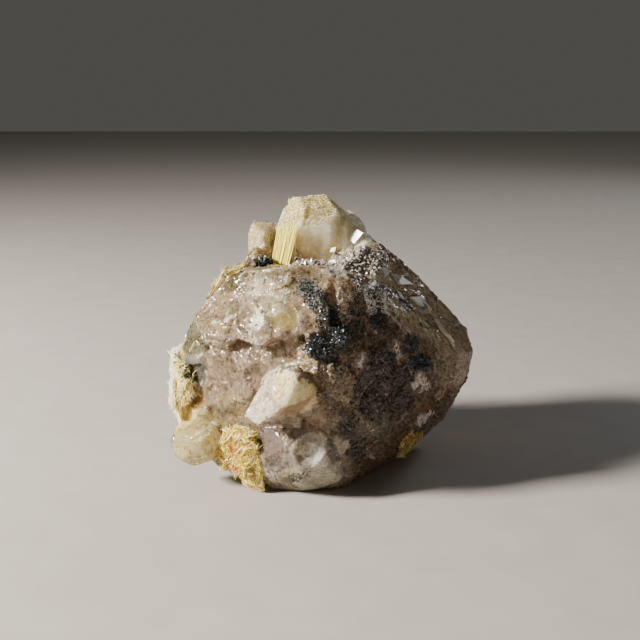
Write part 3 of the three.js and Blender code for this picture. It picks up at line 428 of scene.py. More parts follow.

# thin edges, streaks and clefts, the glint and silver-glint lines painted highlights, the crevice and shade lines
# painted shade: the corners of each line, its half width in mm, how strong, its colour
strokes = dict(
    # painted highlight along the arc where the fine needles run round the prism face
    tallArcHighlight=(((-5.4, 3, 46.8), (-4.6, 3, 48.0), (-3.6, 3, 49.0), (-1.9, 3, 49.9), (-0.3, 3.2, 50.3),
        (1.2, 3.2, 50.1), (2.2, 3.2, 49.5), (3.1, 3.2, 47.4)), 0.3, 0.5, (255, 246, 206)),
    slabFoot=(((-15.4, -14.1, 31.7), (-14.7, -14.7, 31.3), (-13.5, -15.6, 31.0), (-12.3, -17.6, 31.2)), 0.18, 0.7,
        (250, 242, 226)),
    slabFootRight=(((-11.2, -14.3, 28.4), (-10.3, -14.5, 29.4), (-9.2, -14.8, 29.9), (-7.9, -15.2, 30.4),
        (-6.5, -17.9, 31.9), (-5.5, -18.1, 32.6), (-4.6, -18.8, 33.7)), 0.18, 0.7, (250, 240, 218)),
    slabFootLeft=(((-22.2, -7.5, 29.3), (-20.3, -11.3, 29.6), (-18.3, -13.0, 29.9), (-16.9, -13.6, 30.5),
        (-15.8, -14.0, 31.3)), 0.16, 0.6, (248, 240, 222)),
    whiteDrip=(((-12.0, -17.7, 31.2), (-11.4, -17.9, 30.6), (-11.4, -16.5, 29.3)), 0.3, 0.7, (255, 252, 248)),
    glintColumn=(((-6.4, -10.3, 42.1), (-6.7, -11.6, 41.0), (-6.5, -12.0, 39.9), (-6.5, -13.0, 39.2),
        (-6.8, -13.9, 38.3), (-6.8, -14.6, 37.3)), 0.2, 0.8, (255, 250, 240)),
    glintStep=(((-8.2, -10.5, 41.4), (-7.0, -11.3, 41.2), (-6.7, -11.6, 41.0)), 0.25, 0.8, (250, 240, 222)),
    lensRight=(((-6.3, -14.3, 37.6), (-5.2, -15.1, 36.9), (-4.4, -16.3, 36.0), (-4.3, -17.3, 34.8),
        (-4.7, -18.8, 33.7)), 0.18, 0.7, (240, 230, 196)),
    lensTop=(((-9.7, -15.4, 36.1), (-8.9, -14.8, 37.0), (-7.7, -14.6, 37.5)), 0.2, 0.55, (226, 208, 150)),
    lensInner=(((-8.1, -15.8, 36.2), (-6.9, -15.9, 36.4), (-6.0, -16.4, 35.6), (-6.2, -17.3, 34.6),
        (-7.0, -18.2, 34.1)), 0.18, 0.45, (214, 200, 150)),
    streakA=(((-20.2, -5.4, 36.1), (-21.3, -4.9, 34.8), (-22.2, -5.3, 33.8)), 0.22, 0.75, (244, 234, 220)),
    streakB=(((-16.9, -9.1, 36.0), (-17.2, -9.9, 35.3), (-17.6, -11.0, 34.4)), 0.2, 0.6, (240, 230, 216)),
    whiteSpotA=(((-17.6, -12.0, 33.8), (-17.0, -12.4, 34.0), (-16.6, -12.4, 34.4)), 0.5, 0.95, (255, 250, 242)),
    whiteSpotB=(((-20.5, -10.5, 33.0), (-19.7, -11.1, 33.2)), 0.4, 0.7, (246, 236, 222)),
    crestWhite=(((-10.8, -8.0, 42.0), (-9.7, -8.5, 42.2), (-8.7, -7.0, 42.1), (-7.6, -5.4, 42.0)), 0.3, 0.9,
        (255, 252, 246)),
    crestRight=(((-4.5, -5.1, 42.7), (-3.4, -5.7, 42.8), (-2.3, -5.3, 42.9), (-1.2, -6.1, 42.7),
        (-0.1, -5.9, 42.5)), 0.35, 0.9, (255, 250, 242)),
    crestLeft=(((-15.4, -6.6, 40.6), (-14.6, -6.1, 41.4), (-13.5, -6.7, 41.7), (-11.9, -7.9, 41.8)), 0.22, 0.7,
        (244, 236, 222)),
    pocketEdge=(((3.2, -11.1, 40.2), (2.6, -12.1, 39.1), (2.3, -12.2, 37.9), (1.7, -13.7, 36.8),
        (1.4, -14.5, 36.1)), 0.2, 0.8, (206, 184, 152)),
    ochreA=(((-10.9, -10.5, 40.3), (-9.8, -11.2, 40.2), (-8.8, -11.5, 40.3)), 0.3, 0.7, (214, 164, 86)),
    paleTop=(((-12.3, -8.3, 41.3), (-11.8, -9.6, 40.6), (-12.0, -10.4, 39.9)), 0.5, 0.6, (238, 232, 228)),
    paleMid=(((-11.2, -11.9, 38.5), (-10.2, -12.4, 38.5), (-9.0, -12.6, 38.7), (-8.1, -13.4, 38.3)), 0.35, 0.7,
        (244, 236, 222)),
    greyShade=(((-15.2, -8.9, 37.1), (-14.5, -11.0, 36.3), (-14.9, -12.5, 35.4)), 0.7, 0.5, (150, 140, 134)),
    greyShadeB=(((-13.8, -10.7, 37.2), (-12.9, -12.8, 36.9), (-12.5, -13.5, 36.2)), 0.6, 0.4, (160, 148, 140)),
    creamRimA=(((-7.9, -16.5, 25.8), (-8.6, -19.6, 25.8), (-9.0, -19.7, 24.6), (-9.0, -20.0, 23.2),
        (-8.6, -20.4, 22.2), (-8.1, -20.9, 21.5)), 0.24, 1, (255, 250, 232)),
    creamRimB=(((-8.1, -20.9, 21.5), (-7.4, -21.3, 21.8), (-6.5, -21.6, 22.7), (-5.8, -21.8, 23.6),
        (-5.1, -21.9, 24.2), (-4.9, -21.9, 24.8)), 0.24, 1, (255, 252, 238)),
    creamRimC=(((-4.9, -21.8, 24.6), (-4.7, -21.9, 25.7), (-5.1, -21.4, 26.4), (-5.8, -20.8, 26.8),
        (-6.8, -20.2, 26.9), (-7.9, -16.5, 25.8)), 0.24, 1, (255, 250, 236)),
    creamStreak=(((-7.5, -20.9, 23.3), (-7.0, -20.9, 24.4), (-6.1, -21.1, 25.6), (-5.4, -21.3, 26.2)), 0.22, 0.7,
        (214, 204, 184)),
    wedgeLeft=(((-11.9, -18.6, 21.0), (-11.4, -18.6, 22.5), (-11.1, -14.6, 22.7), (-10.5, -14.7, 24.0),
        (-9.7, -15.6, 25.1), (-8.6, -16.3, 25.7), (-7.9, -16.7, 26.4)), 0.24, 1, (255, 252, 246)),
    wedgeLeftB=(((-10.8, -19.2, 21.6), (-10.6, -19.0, 22.9), (-10.1, -19.1, 24.2), (-9.3, -19.3, 25.2)), 0.24, 1,
        (250, 246, 240)),
    wedgeTop=(((-7.9, -16.7, 26.4), (-6.6, -16.8, 26.8), (-5.4, -17.0, 27.2), (-4.1, -17.7, 27.6),
        (-3.0, -18.2, 27.6)), 0.24, 1, (250, 240, 220)),
    wedgeFoot=(((-14.0, -17.9, 17.6), (-12.9, -18.7, 17.1), (-11.6, -19.5, 16.7), (-10.5, -20.0, 17.6),
        (-9.4, -20.5, 18.4), (-8.4, -21.0, 19.7)), 0.2, 1, (255, 252, 246)),
    wedgeLow=(((-12.7, -18.5, 19.1), (-11.5, -19.0, 20.1), (-10.4, -19.6, 20.7), (-9.3, -20.2, 20.9)), 0.24, 1,
        (255, 248, 240)),
    wedgeGreyA=(((-10.4, -19.3, 22.2), (-9.7, -19.7, 22.5), (-9.2, -20.1, 22.0)), 0.35, 0.6, (168, 160, 146)),
    wedgeGreyB=(((-12.5, -18.7, 18.5), (-11.7, -19.1, 19.2)), 0.3, 0.6, (160, 150, 138)),
    matFibreA=(((-27.0, -1.9, 21.9), (-26.0, -3.2, 20.8), (-25.0, -4.2, 19.8)), 0.5, 0.9, (255, 232, 130)),
    matFibreB=(((-27.0, -1.6, 20.4), (-26.1, -2.6, 19.2), (-25.3, -3.5, 17.7)), 0.5, 0.9, (255, 226, 116)),
    matFibreC=(((-25.4, -3.9, 20.4), (-24.6, -4.8, 19.2), (-24.2, -5.2, 18.3)), 0.35, 0.8, (250, 216, 116)),
    amberRim=(((-3.9, -21.5, 25.9), (-3.0, -21.2, 25.3), (-2.5, -21.1, 24.3), (-2.2, -21.1, 23.4),
        (-2.0, -21.0, 22.8)), 0.17, 0.95, (255, 244, 206)),
    amberFoot=(((-2.0, -21.0, 22.8), (-3.0, -21.3, 22.5), (-3.9, -21.4, 22.0), (-4.6, -21.1, 21.2)), 0.15, 0.8,
        (250, 226, 170)),
    amberFootB=(((-0.6, -20.3, 21.3), (-2.0, -20.4, 20.8), (-3.4, -20.3, 19.6), (-4.6, -19.8, 18.3)), 0.15, 0.6,
        (240, 208, 150)),
    amberSplit=(((-6.3, -21.8, 22.5), (-5.9, -21.9, 22.2), (-5.6, -21.9, 23.1), (-5.1, -21.8, 23.6)), 0.17, 0.8,
        (255, 236, 180)),
    paleLineR=(((-2.9, -18.4, 26.9), (-3.4, -18.6, 26.0), (-3.9, -21.4, 26.1)), 0.16, 0.8, (246, 232, 208)),
    crustEdge=(((-4.6, -17.3, 29.3), (-3.8, -17.8, 28.6), (-3.0, -18.1, 27.7)), 0.2, 0.8, (222, 196, 162)),
    crustEdgeB=(((-3.6, -17.7, 29.8), (-2.9, -18.1, 28.8), (-2.5, -18.3, 28.0)), 0.17, 0.6, (226, 204, 176)),
    # painted glint: a short yellow dash of light
    yellowGlintDash=(((-13.7, -14.1, 22.7), (-13.3, -14.5, 21.7)), 0.2, 0.8, (255, 244, 190)),
    dashB=(((-13.2, -13.7, 19.5), (-13.8, -13.3, 18.4), (-14.2, -12.9, 17.7)), 0.2, 0.8, (250, 244, 230)),
    underA=(((-7.9, -15.5, 29.9), (-7.3, -16.0, 29.3)), 0.25, 0.6, (236, 220, 196)),
    underB=(((-11.0, -14.4, 28.5), (-9.5, -15.1, 28.5), (-7.7, -15.9, 28.9), (-6.2, -16.6, 29.1)), 0.16, 0.5,
        (226, 206, 178)),
    p2DarkB=(((-15.1, -13.0, 26.5), (-13.6, -13.5, 27.2), (-12.1, -14.2, 27.5)), 0.35, 0.45, (140, 112, 86)),
    slopeLineA=(((11.9, -8.6, 36.3), (13.0, -8.4, 35.3), (14.3, -8.1, 34.1), (15.8, -7.1, 32.9)), 0.26, 0.8,
        (255, 250, 240)),
    slopeLineB=(((12.6, -9.3, 33.8), (13.9, -9.4, 32.3), (15.3, -9.0, 30.3)), 0.26, 0.7, (255, 250, 240)),
    slopeLineE=(((18.4, -3.3, 31.9), (19.9, -2.7, 30.2), (21.2, -3.0, 28.1), (22.3, -3.0, 26.5)), 0.26, 0.6,
        (255, 250, 240)),
    slopeLineF=(((18.8, 5.5, 37.8), (20.1, 5.8, 36.7), (21.0, 5.1, 35.3)), 0.26, 0.6, (255, 250, 240)),
    slopeLineG=(((15.7, 4.6, 39.8), (16.9, 4.4, 38.5), (17.8, 3.4, 37.1)), 0.26, 0.6, (255, 250, 240)),
    lipA=(((28.6, 3.2, 21.6), (27.6, 2.5, 20.1), (26.3, 0.3, 19.1), (25.3, -0.3, 17.9)), 0.26, 0.8,
        (255, 250, 240)),
    lipB=(((29.4, 3.6, 23.1), (29.2, 4.4, 20.8), (28.3, 2.8, 19.2), (27.9, 3.6, 16.8)), 0.26, 0.7, (255, 250, 240)),
    lipC=(((21.6, -4.3, 23.0), (21.4, -4.9, 22.2), (21.6, -5.0, 21.3)), 0.2, 0.7, (240, 234, 226)),
    lipD=(((28.0, 4.0, 16.2), (26.9, 3.6, 14.6), (25.6, 2.4, 13.8)), 0.26, 0.6, (255, 250, 240)),
    tanEdge=(((4.7, -16.3, 27.2), (5.5, -15.6, 25.8), (6.0, -15.5, 24.7), (6.2, -16.3, 23.8)), 0.18, 0.7,
        (186, 158, 122)),
    tanStreak=(((3.1, -17.8, 21.9), (3.9, -17.3, 20.8), (4.6, -16.7, 19.4)), 0.2, 0.7, (196, 176, 150)),
    tanStreakB=(((4.2, -17.3, 21.7), (4.8, -16.8, 20.4)), 0.16, 0.6, (186, 164, 138)),
    oliveEdge=(((9.0, -13.5, 15.5), (9.7, -12.8, 16.5), (10.7, -12.2, 16.8)), 0.16, 0.6, (170, 164, 146)),
    footEdge=(((1.4, -17.2, 10.4), (2.1, -16.0, 7.9), (3.3, -14.5, 5.6), (4.5, -11.0, 2.7)), 0.2, 0.8,
        (214, 200, 178)),
    footWhite=(((8.9, -9.7, 6.4), (10.0, -8.0, 5.1)), 0.3, 0.8, (240, 232, 220)),
    greenRim=(((-26.6, -3.6, 13.4), (-26.6, -3.4, 14.6), (-25.5, -3.4, 16.1), (-24.0, -5.9, 18.1)), 0.25, 0.7,
        (168, 164, 128)),
    flankWhite=(((-23.5, -8.6, 25.8), (-22.6, -9.5, 26.6)), 0.4, 0.8, (250, 246, 236)),
    flankGlint=(((-22.1, -8.8, 23.1), (-21.7, -9.0, 22.7)), 0.25, 0.9, (255, 254, 250)),
    flankBits=(((-23.2, -7.2, 20.0), (-22.6, -8.0, 20.9)), 0.25, 0.8, (255, 252, 240)),
    paleBand=(((-21.8, -8.2, 28.9), (-21.9, -8.9, 27.8), (-21.5, -9.9, 26.3), (-21.0, -9.6, 24.7)), 0.6, 0.55,
        (236, 220, 188)),
    paleBandB=(((-19.9, -11.5, 29.3), (-20.7, -9.7, 27.8), (-21.1, -10.1, 27.0)), 0.2, 0.7, (248, 236, 210)),
    pitEdge=(((-25.1, -6.8, 26.4), (-24.6, -7.0, 27.6), (-24.2, -7.1, 28.2)), 0.25, 0.7, (210, 196, 140)),
    ledgeShadeA=(((-17.4, -12.9, 29.5), (-16.2, -14.1, 30.6), (-15.1, -14.5, 31.1), (-13.7, -15.7, 30.7)),
        0.35, 0.6, (150, 120, 86)),
    p2Curve=(((-20.3, -10.0, 27.2), (-19.7, -10.9, 26.5), (-18.7, -11.5, 26.6)), 0.2, 0.6, (206, 182, 150)),
    p2CurveB=(((-17.4, -12.5, 24.1), (-16.3, -12.8, 24.7), (-15.3, -13.1, 25.8)), 0.18, 0.5, (206, 182, 150)),
    p2Dots=(((-20.6, -9.5, 21.2), (-20.2, -9.8, 21.2)), 0.28, 0.8, (244, 226, 196)),
    p2DotsB=(((-18.8, -10.8, 21.6), (-17.7, -11.5, 21.6)), 0.3, 0.85, (248, 232, 206)),
    p2DotsC=(((-21.4, -9.2, 20.3), (-21.2, -9.2, 20.7)), 0.22, 0.7, (244, 228, 196)),
    knobGlintB=(((-23.2, -13.3, 10.9), (-22.5, -12.9, 11.4), (-21.7, -11.8, 11.5)), 0.3, 1, (255, 255, 252)),
    knobGlintC=(((-23.8, -11.3, 11.7), (-23.3, -11.1, 11.8), (-22.8, -10.4, 12.0)), 0.28, 1, (255, 255, 250)),
    knobRight=(((-21.4, -11.1, 11.6), (-20.6, -12.1, 9.8), (-20.3, -12.0, 8.2), (-20.7, -12.2, 7.1)), 0.3, 0.7,
        (250, 232, 160)),
    knobLow=(((-24.6, -12.7, 6.7), (-23.0, -13.1, 7.0), (-21.5, -13.4, 8.0)), 0.5, 0.5, (246, 228, 150)),
    pillowLeftStreak=(((-10.6, -15.5, 12.6), (-10.6, -15.9, 11.8), (-10.2, -16.4, 11.0)), 0.35, 0.55,
        (206, 190, 172)),
    pillowRust=(((-9.7, -16.8, 10.4), (-8.8, -17.1, 10.1), (-7.9, -17.3, 9.6)), 0.35, 0.6, (170, 112, 56)),
    # painted glints: white light on the pillow's top
    pillowGlint=(((-6.7, -17.0, 13.8), (-6.0, -17.1, 14.4), (-4.7, -17.3, 15.4)), 0.55, 1, (255, 252, 246)),
    pillowGlintB=(((-7.1, -16.7, 13.9), (-6.6, -17.3, 13.1)), 0.35, 0.9, (255, 250, 244)),
    pillowMid=(((-8.1, -14.1, 13.8), (-7.5, -16.7, 13.7), (-7.1, -17.2, 12.5), (-6.9, -17.8, 10.6),
        (-6.9, -17.5, 9.1)), 0.18, 0.6, (200, 180, 160)),
    pillowDots=(((-4.0, -17.9, 13.8), (-3.7, -18.0, 13.4)), 0.32, 0.9, (255, 250, 242)),
    pillowDotsB=(((-2.6, -17.8, 13.9), (-2.0, -17.7, 14.2)), 0.28, 0.8, (248, 240, 230)),
    pillowLineA=(((-2.8, -18.4, 11.7), (-1.7, -18.2, 11.2), (-0.8, -17.9, 10.1), (0.1, -17.5, 8.7),
        (0.7, -16.9, 7.5)), 0.3, 0.85, (250, 246, 236)),
    pillowLineB=(((-2.2, -18.4, 10.7), (-1.3, -18.0, 9.2), (-0.6, -17.6, 7.8)), 0.25, 0.7, (236, 228, 212)),
    pillowFootLine=(((2.7, -14.9, 5.8), (2.0, -14.5, 4.4), (1.5, -13.3, 2.7)), 0.2, 0.7, (226, 214, 190)),
    pillowFootEdge=(((-3.5, -17.1, 6.0), (-1.3, -17.6, 6.9), (0.9, -16.6, 7.0), (2.9, -15.0, 6.5)), 0.2, 0.6,
        (220, 206, 182)),
    pillowTopEdge=(((-4.0, -16.4, 15.9), (-2.4, -16.7, 15.4), (-1.0, -16.2, 14.3), (0.3, -17.5, 13.2)), 0.2, 0.6,
        (214, 198, 180)),
    footBitsA=(((-8.3, -14.2, 3.3), (-7.4, -13.1, 2.0), (-6.3, -13.1, 1.8)), 0.2, 0.9, (246, 242, 226)),
    footBitsB=(((-5.7, -14.1, 2.6), (-4.8, -15.9, 4.7), (-3.9, -17.3, 6.5)), 0.2, 0.9, (246, 242, 226)),
    # painted shade: dark lines in the clefts beside the slope's flakes
    creviceShade=(((9.7, -8.1, 39.0), (11.3, -5.2, 38.2), (12.9, -4.0, 37.1), (14.8, -2.1, 36.3), (15.4, -2.2, 35.5)),
        0.5, 0.9, (44, 34, 20)),
    creviceShadeB=(((16.3, -2.7, 34.5), (17.0, -3.6, 33.4), (18.4, -3.0, 32.4), (20.6, -0.9, 31.3)), 0.35, 0.85,
        (36, 28, 18)),
    # painted glints: silvery white sparks on the black band
    silverGlintA=(((14.6, -4.5, 35.1), (15.2, -4.6, 34.6), (15.8, -4.7, 34.0)), 0.3, 1, (255, 255, 250)),
    silverGlintB=(((14.1, -6.7, 35.3), (15.0, -7.2, 34.2), (16.3, -5.5, 32.9)), 0.35, 0.8, (236, 232, 222)),
    silverGlintC=(((11.6, -9.5, 34.6), (12.0, -9.5, 34.1)), 0.3, 1, (255, 255, 252)),
    silverGlintD=(((12.6, -8.5, 35.5), (13.2, -8.6, 34.6)), 0.2, 0.9, (250, 248, 240)),
    silverGlintE=(((12.2, -8.4, 36.1), (13.4, -8.4, 34.7), (13.9, -8.6, 33.8)), 0.16, 0.8, (236, 234, 224)),
    glintA=(((14.6, 3.4, 40.1), (15.0, 3.7, 39.8)), 0.18, 1, (255, 255, 252)),
    glintB=(((18.9, 4.6, 37.2), (19.3, 4.7, 36.8)), 0.22, 1, (255, 255, 250)),
    glintC=(((21.5, 3.7, 34.0), (21.7, 3.7, 33.8)), 0.18, 1, (255, 255, 250)),
    glintE=(((19.1, -4.3, 30.0), (19.6, -4.0, 29.5)), 0.28, 1, (255, 255, 250)),
    glintF=(((23.7, -0.6, 28.2), (24.2, -1.0, 27.5)), 0.25, 1, (255, 255, 250)),
    glintG=(((25.0, -0.3, 26.5), (25.4, 0.2, 25.5)), 0.28, 1, (255, 255, 250)),
    glintH=(((27.3, 5.8, 28.7), (27.5, 5.4, 28.2)), 0.2, 0.9, (255, 255, 250)),
    glintI=(((21.7, -2.1, 28.4), (22.3, -2.3, 27.7)), 0.2, 0.9, (250, 248, 240)),
    glintJ=(((13.7, -4.6, 36.3), (14.1, -4.2, 36.0)), 0.18, 0.9, (246, 242, 232)),
    glintK=(((15.5, -8.3, 31.3), (16.1, -8.1, 30.3)), 0.2, 0.8, (240, 236, 226)),
    mauveLine=(((21.3, 0.1, 31.8), (21.9, 0.1, 30.8), (22.9, 0.2, 29.8), (23.9, 0.1, 28.8)), 0.25, 0.8,
        (214, 200, 186)),
    darkLine=(((21.1, -0.3, 31.5), (22.7, -0.1, 29.7), (23.9, -0.5, 28.2)), 0.3, 0.8, (30, 24, 18)),
    streakDown=(((22.7, -0.5, 29.2), (23.8, -1.0, 27.7), (25.2, 0.2, 26.0)), 0.14, 0.7, (216, 208, 192)),
    # painted glints: white sparks on the black band
    bandGlints=(((7.9, -10.2, 38.2), (8.1, -10.2, 37.8)), 0.2, 1, (255, 255, 250)),
    bandGlintsB=(((9.6, -9.9, 36.6), (9.8, -10.0, 36.3)), 0.2, 1, (255, 255, 250)),
    bandGlintsC=(((10.5, -9.4, 36.5), (10.7, -9.4, 36.1)), 0.2, 1, (255, 255, 250)),
    bandGlintsD=(((8.7, -9.2, 39.0), (9.2, -9.3, 38.1)), 0.18, 0.9, (245, 245, 238)),
    bandGlintsE=(((9.4, -9.6, 37.5), (10.2, -9.4, 36.9)), 0.18, 0.9, (245, 245, 238)),
    bandGlintsF=(((7.8, -8.4, 39.6), (8.1, -9.5, 39.1)), 0.18, 0.9, (240, 240, 232)),
    wedgeGreyC=(((-10.6, -19.4, 22.5), (-9.9, -19.6, 21.8), (-9.2, -20.2, 21.4)), 0.3, 0.6, (150, 138, 120)),
    wedgeGreyD=(((-11.7, -18.8, 20.4), (-10.8, -19.2, 20.9), (-10.0, -19.6, 21.2)), 0.16, 0.7, (156, 142, 120)),
    creamRim=(((-8.7, -19.9, 24.4), (-8.5, -20.4, 23.2), (-8.1, -20.7, 22.5), (-7.3, -21.2, 22.3),
        (-6.6, -21.6, 22.5), (-5.8, -21.7, 23.8), (-5.2, -21.8, 24.9), (-4.8, -21.5, 26.3)), 0.13, 0.75,
        (206, 170, 108)),
    creamCrest=(((-6.3, -20.6, 26.7), (-7.4, -20.3, 26.2), (-8.1, -19.9, 25.6), (-8.7, -19.8, 24.5)), 0.13, 0.6,
        (212, 182, 128)),
    creamFold=(((-6.0, -21.2, 25.8), (-6.6, -21.2, 25.0), (-7.2, -21.0, 23.9), (-7.7, -20.8, 23.0)), 0.12, 0.5,
        (224, 194, 140)),
    slopeGlintA=(((14.9, -4.4, 35.3), (15.5, -4.8, 34.5), (16.1, -5.5, 33.6)), 0.16, 0.9, (248, 246, 236)),
    slopeGlintB=(((17.9, -3.5, 32.4), (18.7, -3.7, 31.0), (19.6, -4.0, 29.4)), 0.13, 0.8, (242, 238, 226)),
    slopeGlintC=(((11.7, -8.8, 36.1), (12.7, -8.8, 34.9), (13.8, -8.8, 33.7), (14.7, -8.7, 32.2),
        (15.5, -8.7, 30.7)), 0.12, 0.7, (238, 234, 222)),
    slopeGlintD=(((21.7, -0.1, 30.5), (23.0, -0.5, 29.1), (24.3, -0.8, 27.7)), 0.15, 0.9, (250, 248, 238)),
    rimFibreA=(((29.8, 4.1, 23.0), (29.1, 3.2, 21.4), (28.3, 2.4, 20.4), (27.2, 1.4, 19.3)), 0.22, 0.8,
        (222, 206, 196)),
    rimFibreB=(((29.6, 4.1, 22.1), (28.7, 3.4, 20.2), (28.0, 2.9, 18.5), (26.7, 2.3, 16.4)), 0.2, 0.75,
        (208, 192, 180)),
    rimFibreC=(((26.5, 0.8, 18.7), (25.9, 0.9, 17.3), (25.4, 0.9, 16.0)), 0.25, 0.7, (196, 178, 166)),
    rimPale=(((29.7, 3.9, 23.0), (29.7, 4.8, 21.0)), 0.25, 0.8, (226, 216, 202)),
)


def faceReach(points, p, wobble):
    # how far inside the corners' outline each point lies, by the nearest side
    inside = np.full(len(points), 9.0)
    corners = np.array(p["corners"])
    turning = np.roll(corners, -1, 0) - corners
    sign = np.sign((corners[:, 0] * np.roll(corners[:, 1], -1) - corners[:, 1] * np.roll(corners[:, 0], -1)).sum())
    for (x, z), (dx, dz) in zip(corners, turning):
        side = sign * (dx * (points[:, 2] - z) - dz * (points[:, 0] - x)) / math.hypot(dx, dz)
        inside = np.minimum(inside, side)
    near = (points[:, 1] > p["depth"][0]) & (points[:, 1] < p["depth"][1])
    return smooth(inside / 0.22 + 0.5 + 0.7 * wobble) * near


flattened = np.array((1, 0.33, 1))   # along the lines, depth counts for a third
frontDepth = 9                       # lines are laid on what lies in front of this, mm


def lineReach(points, line, wide):
    # how near each point is to the line through the corners
    q = points * flattened
    nearest = np.full(len(points), 9.0)
    corners = np.array(line, float) * flattened
    for a, b in zip(corners, corners[1:]):
        t = np.clip((q - a) @ (b - a) / ((b - a) @ (b - a)), 0, 1)
        nearest = np.minimum(nearest, np.linalg.norm(q - a - t[:, None] * (b - a), axis=1))
    return smooth(1.25 - nearest / wide)


# rounded parts are broken off flat here: a place on the skin, the way the flat looks, how deep it cuts
cuts = (
    ((-10.0, -16.2, 11.9), (-0.60, -0.78, 0.2), 0.85), ((-5.8, -17.2, 14.4), (-0.3, -0.7, 0.65), 0.85),
    ((-2.7, -18.1, 13.1), (0.15, -0.82, 0.55), 0.4), ((-1.1, -18.0, 9.9), (-0.05, -0.94, 0.33), 0.7),
    ((-0.2, -15.4, 4.4), (0.05, -0.8, -0.6), 0.85), ((2.6, -15.5, 7.1), (0.65, -0.75, -0.1), 0.85),
    ((-7.5, -16.8, 7.1), (-0.35, -0.9, -0.25), 0.5), ((-4.2, -18.7, 11.0), (-0.2, -0.97, 0.1), 0.4),
    ((1.2, -17.3, 11.8), (0.55, -0.75, 0.35), 0.5),
    ((-26.0, -12.3, 8.7), (-0.62, -0.78, 0.05), 0.5), ((-23.2, -13.3, 11.1), (-0.2, -0.85, 0.48), 0.4),
    ((-23.7, -13.0, 7.4), (-0.2, -0.9, -0.4), 0.5), ((-21.4, -13.4, 8.8), (0.35, -0.93, 0.1), 0.45),
    ((-18.7, -7.1, 36.3), (-0.7, -0.4, 0.6), 0.35), ((-15.6, -13.4, 33.8), (-0.15, -0.8, 0.6), 0.35),
    ((-18.1, -11.4, 22.2), (-0.5, -0.86, -0.1), 0.35),
    ((6.6, -14.6, 30.7), (0.45, -0.8, 0.42), 0.4), ((13.1, -12.0, 28.1), (0.72, -0.68, 0.0), 0.4),
    ((10.4, -12.9, 18.8), (0.3, -0.95, 0.05), 0.4), ((18.1, -9.1, 21.4), (0.6, -0.75, 0.25), 0.4),
    ((22.6, -2.3, 27.3), (0.66, -0.68, 0.3), 0.4), ((27.2, 6.2, 12.0), (0.8, -0.4, -0.4), 0.4),
)


def boxOf(name):
    # the low and the high corner of a solid's box, mm
    return [np.array(corner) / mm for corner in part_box(name)]


def evenOut(points, quads, crystals):
    # the net's steps are smoothed away, then clefts fill up a little while edges stay
    for _ in range(skin["evenTurns"]):
        share = skin["evenOut"] - skin["crystalsLess"] * crystals
        points += share[:, None] * (neighbourMean(points, quads) - points)
    for _ in range(skin["fillTurns"]):
        normals = pointNormals(points, quads)
        sunk = ((neighbourMean(points, quads) - points) * normals).sum(1)
        points += normals * (skin["fill"] * np.maximum(sunk, 0) * (1 - crystals))[:, None]


def shapeTallCrystal(points, quads):
    # the groove the blades sit in is closed: sunk points come up to the prism face
    at, way = tallPrism["face"]
    way = unit(np.array(way))
    under = (points - at) @ way
    low, high, deep = tallPrism["groove"]
    groove = (under < 0) & (under > -deep) & ((points > low) & (points < high)).all(1)
    points[groove] -= under[groove, None] * way
    # the crystal stands turned about its own upright line, its right side set out a little
    upper = reachOf(points, patches["tallCrystal"]) * smooth((points[:, 2] - tallPrism["foot"]) / 1.6) \
        * smooth((4.2 - points[:, 0]) / 1.2)
    turn = tallPrism["turn"] * upper
    axisX, axisY = tallPrism["axis"]
    away = points[:, :2] - (axisX, axisY)
    points[:, 0] = axisX + away[:, 0] * np.cos(turn) + away[:, 1] * np.sin(turn)
    points[:, 1] = axisY - away[:, 0] * np.sin(turn) + away[:, 1] * np.cos(turn)
    points[:, 0] += tallPrism["setOut"] * upper * smooth((points[:, 0] - axisX) / 3)
    # it leans a little too
    points[:, 0] += reachOf(points, patches["tallCrystal"]) * (
        tallPrism["leanLeft"] * smooth((points[:, 2] - 46) / 7) * smooth((1 - points[:, 0]) / 6)
        + tallPrism["leanRight"] * smooth((points[:, 0] + 1) / 3) * smooth((53 - points[:, 2]) / 3))
    # and its right top corner is broken off
    at, way = tallPrism["corner"]
    points -= np.maximum((points - at) @ np.array(way), 0)[:, None] * np.array(way) * upper[:, None]
    # behind the crest the body falls away to the crystal's foot
    drop = fall["depth"] * smooth((pointNormals(points, quads)[:, 2] - 0.5) / 0.3)
    behind = 1
    for axis, (low, fadeIn, high, fadeOut) in enumerate(fall["zone"]):
        behind = behind * smooth((points[:, axis] - low) / fadeIn) * smooth((high - points[:, axis]) / fadeOut)
    points[:, 2] -= drop * behind


def chipOff(points, quads, start, keep):
    # shell-shaped chips: each ball sits just over the skin, and what it covers is pushed down onto it
    rng = np.random.default_rng(skin["seed"])
    normals = pointNormals(points, quads)
    picks = pick(rng, 1 - 0.97 * keep, skin["scoops"])
    radii = rng.uniform(*skin["scoopReach"], skin["scoops"])
    bites = rng.uniform(*skin["scoopBite"], skin["scoops"])
    for spot, radius, bite in zip(picks, radii, bites):
        middle = points[spot] + normals[spot] * (radius - bite)
        away = points - middle
        far = np.sqrt((away * away).sum(1))
        inside = (far < radius) & (((start - start[spot]) ** 2).sum(1) < (3 * math.sqrt(radius * bite)) ** 2)
        if radius - far[inside].min() > 1.6 * bite:
            continue   # it would cut too deep beside a cleft
        points[inside] = middle + away[inside] * (radius / far[inside])[:, None]


